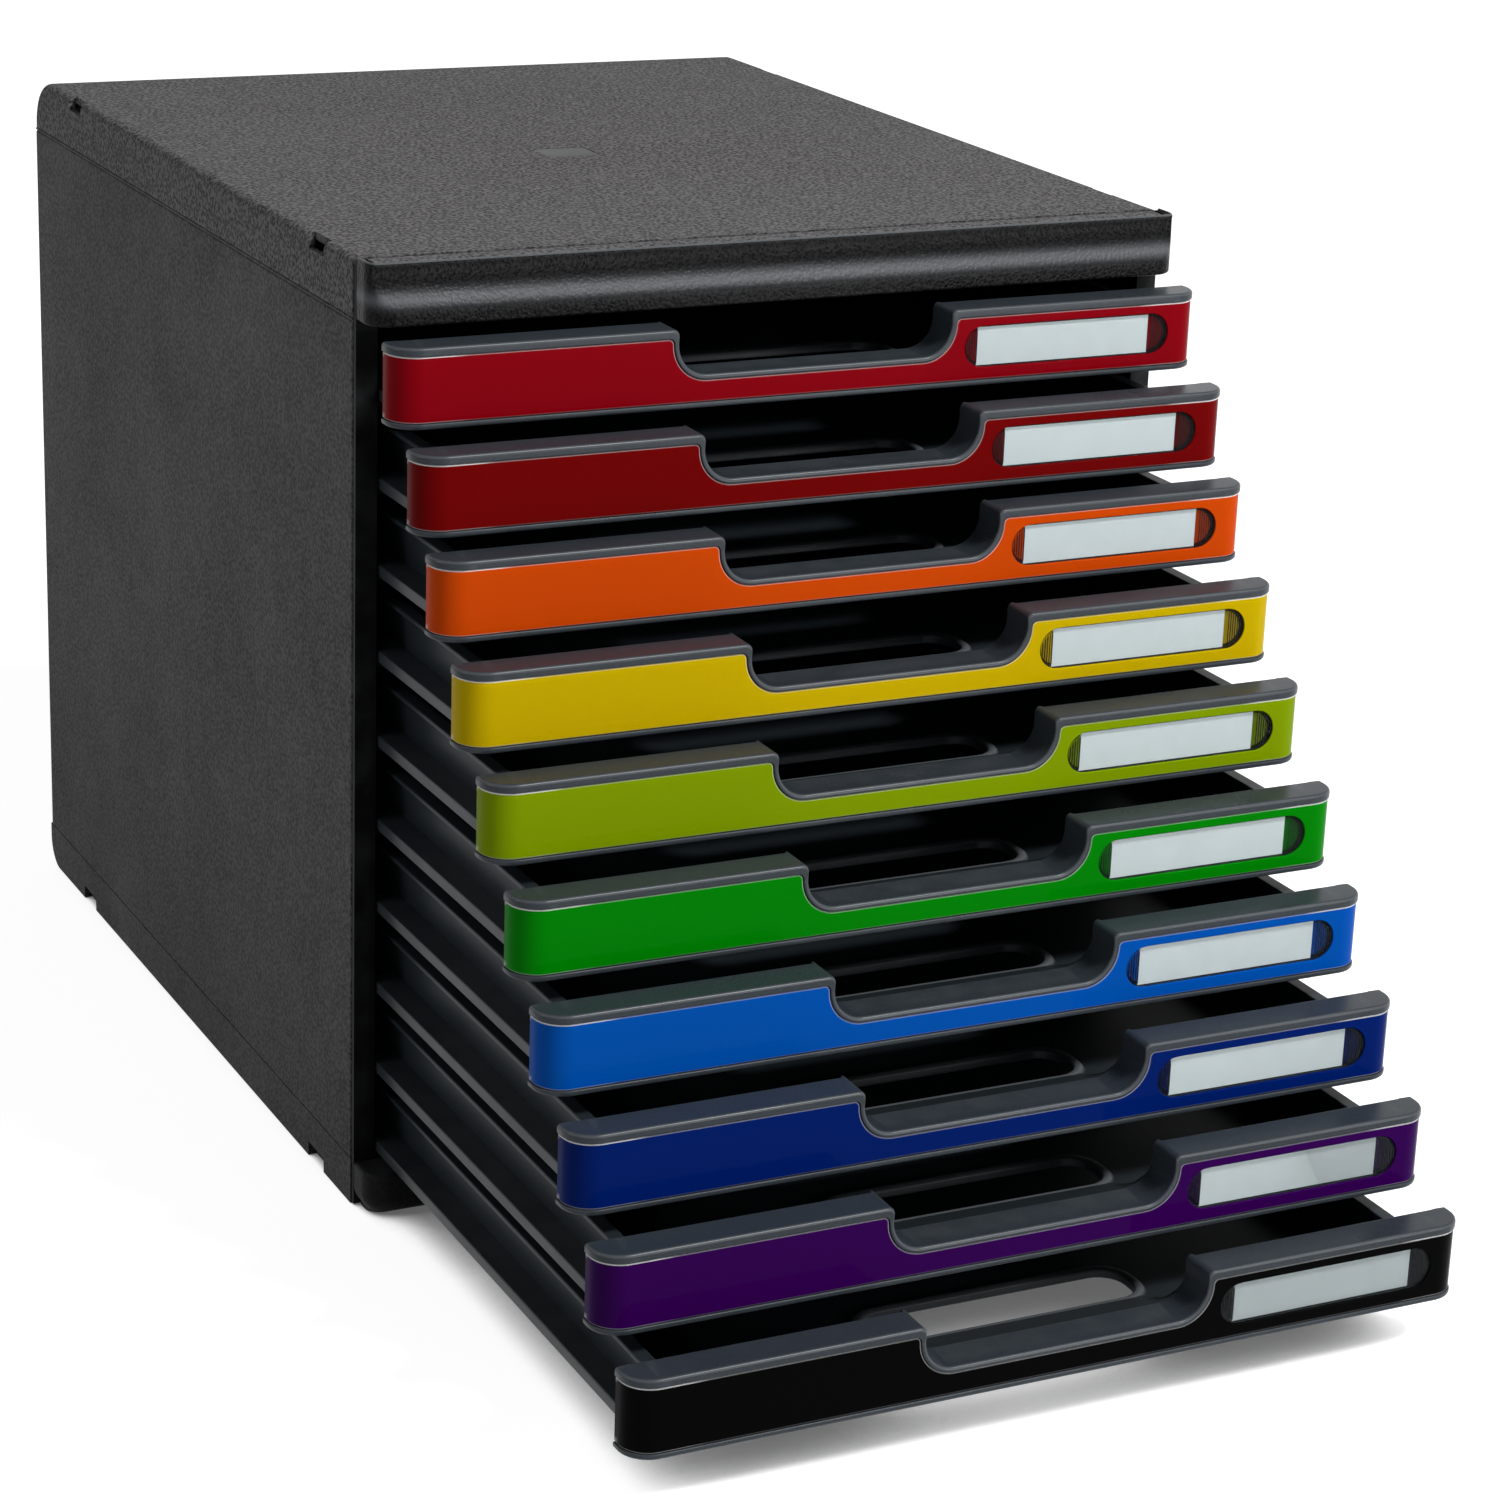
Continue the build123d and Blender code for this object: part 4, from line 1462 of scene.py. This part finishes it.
@dataclass(frozen=True)
class BaseTrim(Trim):
    """Trim below the drawers, rounded under its front edge."""

    round_under: float = 7.0
    under_steps: int = 8
    round_top: float = 1.1
    top_steps: int = 4

    def outline(self, height: float) -> tuple[np.ndarray, np.ndarray, np.ndarray, np.ndarray]:
        """A large rounded underside and a small rounded top edge.

        Args:
            height: height of the trim.

        Returns:
            Depths, heights, cuts and marks of the points.
        """
        inset, drop = round_over(self.round_under, self.under_steps)
        top_inset, top_drop = round_over(self.round_top, self.top_steps)
        depth = np.concatenate([inset, top_inset[::-1]])
        level = np.concatenate([drop, height - top_drop[::-1]])
        return depth, level, np.full_like(depth, -self.soft), np.zeros_like(depth)


@dataclass(frozen=True)
class Cornice(Trim):
    """Trim above the drawers: a belly, a cove under a fine bead and a low strip behind it."""

    plan: Plan = Plan(half_width=143.5, corner_radius=8.5, depth=14.0, bend_limit=2.4, arc_steps=30)
    round_steps: int = 4
    foot_round: float = 0.8
    belly_height: float = 3.5
    cove_depth: float = 4.6
    cove_power: float = 0.65
    cove_points: int = 25
    bead_depth: float = 3.2
    bead_width: float = 1.7
    bead_round: float = 0.6
    bead_rise: float = 0.5
    bead_foot: float = 0.2
    bend_share: float = 0.6
    bead_shine: tuple[float, ...] = (0.7, 1.0, 1.0, 0.8, 0.3)
    crest_shine: float = 0.95
    crest_place: float = 0.32
    crest_spread: float = 0.15
    strip_width: float = 1.5
    groove_width: float = 1.7
    groove_depth: float = 2.0

    @property
    def groove_start(self) -> float:
        """Depth at which the groove behind the strip begins."""
        return self.bead_depth + self.bead_width + self.strip_width

    def outline(self, height: float) -> tuple[np.ndarray, np.ndarray, np.ndarray, np.ndarray]:
        """Rounded foot, face, belly and cove, bead, strip and groove.

        From the belly to the cove the cut follows half a cosine wave, drawn together at the belly
        by a power of the height. The belly's crest gets a painted highlight, by a bell curve of the
        height, and the bead a painted highlight along its rounding.

        Args:
            height: height of the trim.

        Returns:
            Depths, heights, cuts and marks of the points.
        """
        inset, drop = round_over(self.foot_round, self.round_steps)
        share = np.linspace(0, 1, self.cove_points)
        wave = (1 - np.cos(math.pi * share ** self.cove_power)) / 2
        under_bead = height - 2 * self.bead_round
        cove_height = under_bead - self.bead_foot - self.belly_height
        round_in, round_down = round_over(self.bead_round, self.round_steps)
        bead_in = np.concatenate([round_in[::-1], self.bead_width - round_in])
        bead_level = height - np.concatenate([round_down[::-1], round_down])
        strip_level = height - self.bead_rise
        bead_level[-1] = strip_level
        strip = self.bead_width + self.strip_width
        depth = np.concatenate([inset, np.zeros(len(share) + 1), bead_in * self.bend_share,
                                np.full(2, strip * self.bend_share)])
        level = np.concatenate([drop, self.belly_height + cove_height * share, [under_bead], bead_level,
                                [strip_level, strip_level - self.groove_depth]])
        cut = np.concatenate([np.full(len(inset), -self.soft),
                              (self.cove_depth + self.soft) * wave - self.soft,
                              [self.bead_depth], self.bead_depth + bead_in, np.full(2, self.groove_start)])
        # Painted highlights: a band over the belly's crest and a line along the bead's front rounding.
        crest = np.exp(-((share - self.crest_place) / self.crest_spread) ** 2)
        mark = np.zeros_like(cut)
        mark[len(inset):][:len(share)] = self.crest_shine * crest
        mark[len(inset) + len(share) + 2:][:len(self.bead_shine)] = self.bead_shine
        return depth, level, cut, mark


@dataclass
class Case:
    """The black case: lid, base, side panels, racks and trims."""

    effects: Effects
    edge_round: float = 0.7
    tongue_height: float = 1.4
    tongue_inset: float = 0.35
    tongue_lap: float = 1.0
    line_width: float = 0.4
    cornice_sink: float = 0.9
    shell: MouldedPlastic = MouldedPlastic(
        "case_black", srgb(74, 73, 73), Grain.FINE, 0.55, specular=0.025, speckle=0.85, wear=0.15)
    # Lid colour lighter than the case black, with low specular: painted sheen on the top.
    lid: MouldedPlastic = MouldedPlastic(
        "lid_black", srgb(109, 107, 108), Grain.FINE, 0.55, specular=0.008, speckle=0.8, wear=0.1)
    trim: MouldedPlastic = MouldedPlastic(
        "trim_black", srgb(24, 24, 25), Grain.LEATHER, 0.3, specular=0.045, speckle=0.9, wear=0.05,
        highlight_paint=0.55)
    base: MouldedPlastic = MouldedPlastic(
        "base_trim_black", srgb(26, 26, 26), Grain.FINE, 0.5, specular=0.04, speckle=0.6, wear=0.1)
    rack: MouldedPlastic = MouldedPlastic(
        "rack_black", srgb(7, 7, 7), Grain.SATIN, 0.5, specular=0.02, wear=0.03)
    # Front frame in a much darker copy of the case black: painted shade at the case's front.
    border: MouldedPlastic = MouldedPlastic(
        "frame_black", srgb(9, 9, 9), Grain.SATIN, 0.45, specular=0.03, wear=0.1)
    plate: MouldedPlastic = MouldedPlastic(
        "plate_black", srgb(26, 26, 27), Grain.POLISHED, 0.3, specular=0.03)

    def set_block(self, shell: Moulding, name: str, node: str, finish: bpy.types.Material) -> None:
        """Set a piece of rounded blocks in the place of a CAD node.

        Args:
            shell: its blocks.
            name: name of the piece.
            node: name of the node.
            finish: material of the piece.
        """
        mesh = shell.make(f"{name}_blocks")
        place(mesh, name, finish, "case", (node,))
        bpy.data.meshes.remove(mesh)

    def side_panel(self, side: Side, finish: bpy.types.Material) -> None:
        """Make one side panel, softened and with two fine lines under the lid.

        Args:
            side: which of the two.
            finish: its material.
        """
        label = side.name.lower()
        low, high = (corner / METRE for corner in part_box(f"side_panel_{label}"))
        line = high.z - self.tongue_height
        left, right = (self.tongue_inset * (side is outer) for outer in Side)
        shell = Moulding()
        shell.block(tuple(low), (high.x, high.y, line), self.edge_round)
        shell.block((low.x + left, low.y + self.tongue_inset, line - self.tongue_lap),
                    (high.x - right, high.y - self.tongue_inset, high.z), self.tongue_inset / 2)
        shell.block((low.x, low.y, line + self.line_width),
                    (high.x, high.y, high.z - self.line_width), self.tongue_inset / 3)
        self.set_block(shell, f"case_side_{label}", f"side_panel_{label}", finish)

    def front_of_lid(self, cornice: Cornice, finish: bpy.types.Material) -> None:
        """Make the part of the lid that lies over the cornice, up to its groove.

        Args:
            cornice: the cornice below it.
            finish: material of the lid.
        """
        low, high = (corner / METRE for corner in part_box("cornice"))
        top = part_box("lid_panel")[1].z / METRE
        near = low.y + cornice.groove_start + cornice.groove_width
        reach = high.x - cornice.bead_width - cornice.strip_width
        shell = Moulding()
        shell.block((-reach, near, top - cornice.groove_depth), (reach, high.y, top),
                    cornice.bead_round / 2)
        self.set_block(shell, "case_lid_front", "cornice", finish)

    def build(self) -> None:
        """Dress the case's CAD nodes and make its side panels and trims."""
        shell, lid, trim, base, rack, border, plate = (
            finish.make(self.effects) for finish in
            (self.shell, self.lid, self.trim, self.base, self.rack, self.border, self.plate))
        for side in Side:
            self.side_panel(side, shell)
        cornice, base_trim = Cornice(), BaseTrim()
        cornice.build("cornice", self.cornice_sink, cornice.cove_depth + cornice.wall, trim)
        self.front_of_lid(cornice, lid)
        base_trim.build("base_trim", 0.0, base_trim.wall, base)
        for node, finish, slot in (
                ("base_panel", shell, "case_black"), ("back_panel", shell, "case_black"),
                ("lid_panel", lid, "case_black"), ("front_frame", border, "case_black"),
                ("runner_rack_left", rack, "rack_black"), ("runner_rack_right", rack, "rack_black"),
                ("lid_plate", plate, "plate_black")):
            dress(node, finish)


@dataclass(frozen=True)
class Lamp:
    """A soft box: where it hangs, what it faces, its size and its power."""

    name: str
    position: Point
    target: Point
    width: float
    height: float
    power: float

    def hang(self) -> None:
        """Make the lamp."""
        data = bpy.data.lights.new(self.name, "AREA")
        data.shape = "RECTANGLE"
        data.size = self.width
        data.size_y = self.height
        data.energy = self.power
        lamp = bpy.data.objects.new(self.name, data)
        lamp.location = self.position
        aim = Vector(self.target) - Vector(self.position)
        lamp.rotation_euler = aim.to_track_quat("-Z", "Y").to_euler()
        bpy.context.scene.collection.objects.link(lamp)


@dataclass
class Studio:
    """Camera, lamps, plain surroundings and a pale floor."""

    camera_position: Point = (-0.55896, -1.29079, 0.56656)
    camera_right: Point = (0.89975, -0.43501, 0.03491)
    camera_up: Point = (0.11033, 0.30413, 0.94622)
    camera_forward: Point = (0.42223, 0.84751, -0.32164)
    lens: float = 94.32
    sensor: float = 36.0
    clip_start: float = 0.01
    ambient: float = 0.12
    floor_radius: float = 14.0
    floor_corners: int = 96
    floor_gap: float = 0.0002
    floor_colour: Colour = (0.6, 0.6, 0.6, 1.0)
    floor_roughness: float = 0.9
    near_reach: tuple[float, float] = (0.6, 1.4)
    near_glow: float = 0.88
    shade_samples: int = 16
    shade_reach: float = 0.05
    shade_range: tuple[float, float] = (0.22, 0.5)
    shade_least: float = 0.11
    lamps: tuple[Lamp, ...] = (
        Lamp("overhead", (0.80, -1.45, 1.95), (0.0, -0.15, 0.2), 0.45, 0.4, 52.0),
        Lamp("front_right", (0.75, -1.75, 0.25), (0.0, -0.35, 0.04), 0.45, 0.4, 10.5),
        Lamp("left", (-1.90, -0.10, 0.90), (-0.1, -0.1, 0.15), 0.5, 0.5, 6.2),
    )

    def set_camera(self) -> None:
        """Put the camera where the photograph was taken from."""
        data = bpy.data.cameras.new("camera")
        data.lens = self.lens
        data.sensor_width = self.sensor
        data.sensor_fit = "HORIZONTAL"
        data.clip_start = self.clip_start
        camera = bpy.data.objects.new("camera", data)
        turn = Matrix((self.camera_right, self.camera_up, [-v for v in self.camera_forward])).transposed()
        camera.matrix_world = Matrix.Translation(self.camera_position) @ turn.to_4x4()
        bpy.context.scene.collection.objects.link(camera)
        bpy.context.scene.camera = camera

    def seen(self, plant: Plant) -> bpy.types.NodeSocket:
        """One for what the camera sees straight, mirrored or through clear plastic, else nought.

        Args:
            plant: nodes to add to.

        Returns:
            The value.
        """
        path = plant.node("ShaderNodeLightPath")
        either = plant.maths("MAXIMUM", path.outputs["Is Camera Ray"], path.outputs["Is Glossy Ray"])
        return plant.maths("MAXIMUM", either, path.outputs["Is Transmission Ray"])

    def set_world(self) -> None:
        """Light everything a little from all sides, and show plain white round the floor."""
        world = bpy.data.worlds.new("studio")
        world.use_nodes = True
        plant = Plant(world.node_tree)
        background = world.node_tree.nodes["Background"]
        plant.join(WHITE, background.inputs["Color"])
        plant.join(plant.spread(self.seen(plant), 0.0, 1.0, self.ambient), background.inputs["Strength"])
        bpy.context.scene.world = world

    def lay_floor(self) -> None:
        """Lay a round pale floor that looks white, takes the lamps' shadow and has a painted contact
        shadow.
        """
        turn = np.arange(self.floor_corners) * 4 * QUARTER / self.floor_corners
        ring = np.stack([np.cos(turn), np.sin(turn), np.zeros_like(turn)], axis=-1) * self.floor_radius
        mesh = bpy.data.meshes.new("floor")
        mesh.from_pydata(ring.tolist(), [], [list(range(len(turn)))])
        mesh.transform(Matrix.Translation((0, 0, -self.floor_gap)))
        plant = FinishPlant("pale_floor")
        far = plant.node("ShaderNodeVectorMath", {"operation": "LENGTH"}, i0=plant.where)
        glow = plant.spread(far.outputs["Value"], *self.near_reach, self.near_glow)
        # Painted contact shadow: ambient occlusion darkens the floor's glow under and close to the box.
        shade = plant.node("ShaderNodeAmbientOcclusion", {"samples": self.shade_samples},
                           Distance=self.shade_reach).outputs["AO"]
        glow = plant.maths("MULTIPLY", glow, plant.spread(shade, *self.shade_range, self.shade_least))
        material = plant.complete(
            Emission_Strength=plant.maths("MULTIPLY", glow, self.seen(plant)), Emission_Color=WHITE,
            Base_Color=self.floor_colour, Roughness=self.floor_roughness, Specular_IOR_Level=0.0)
        mesh.materials.append(material)
        floor = bpy.data.objects.new("floor", mesh)
        bpy.context.scene.collection.objects.link(floor)

    def set_up(self) -> None:
        """Make the whole studio."""
        bpy.context.scene.view_settings.view_transform = "Standard"
        self.set_camera()
        self.set_world()
        self.lay_floor()
        for lamp in self.lamps:
            lamp.hang()
        log.info("studio ready with %d lamps", len(self.lamps))


def main() -> None:
    """Build the studio, the case and the drawers."""
    logging.basicConfig(level=logging.INFO, format="%(message)s")
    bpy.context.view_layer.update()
    Studio().set_up()
    effects = Effects()
    Case(effects).build()
    Drawers(effects).build()


if __name__ == "__main__":
    main()
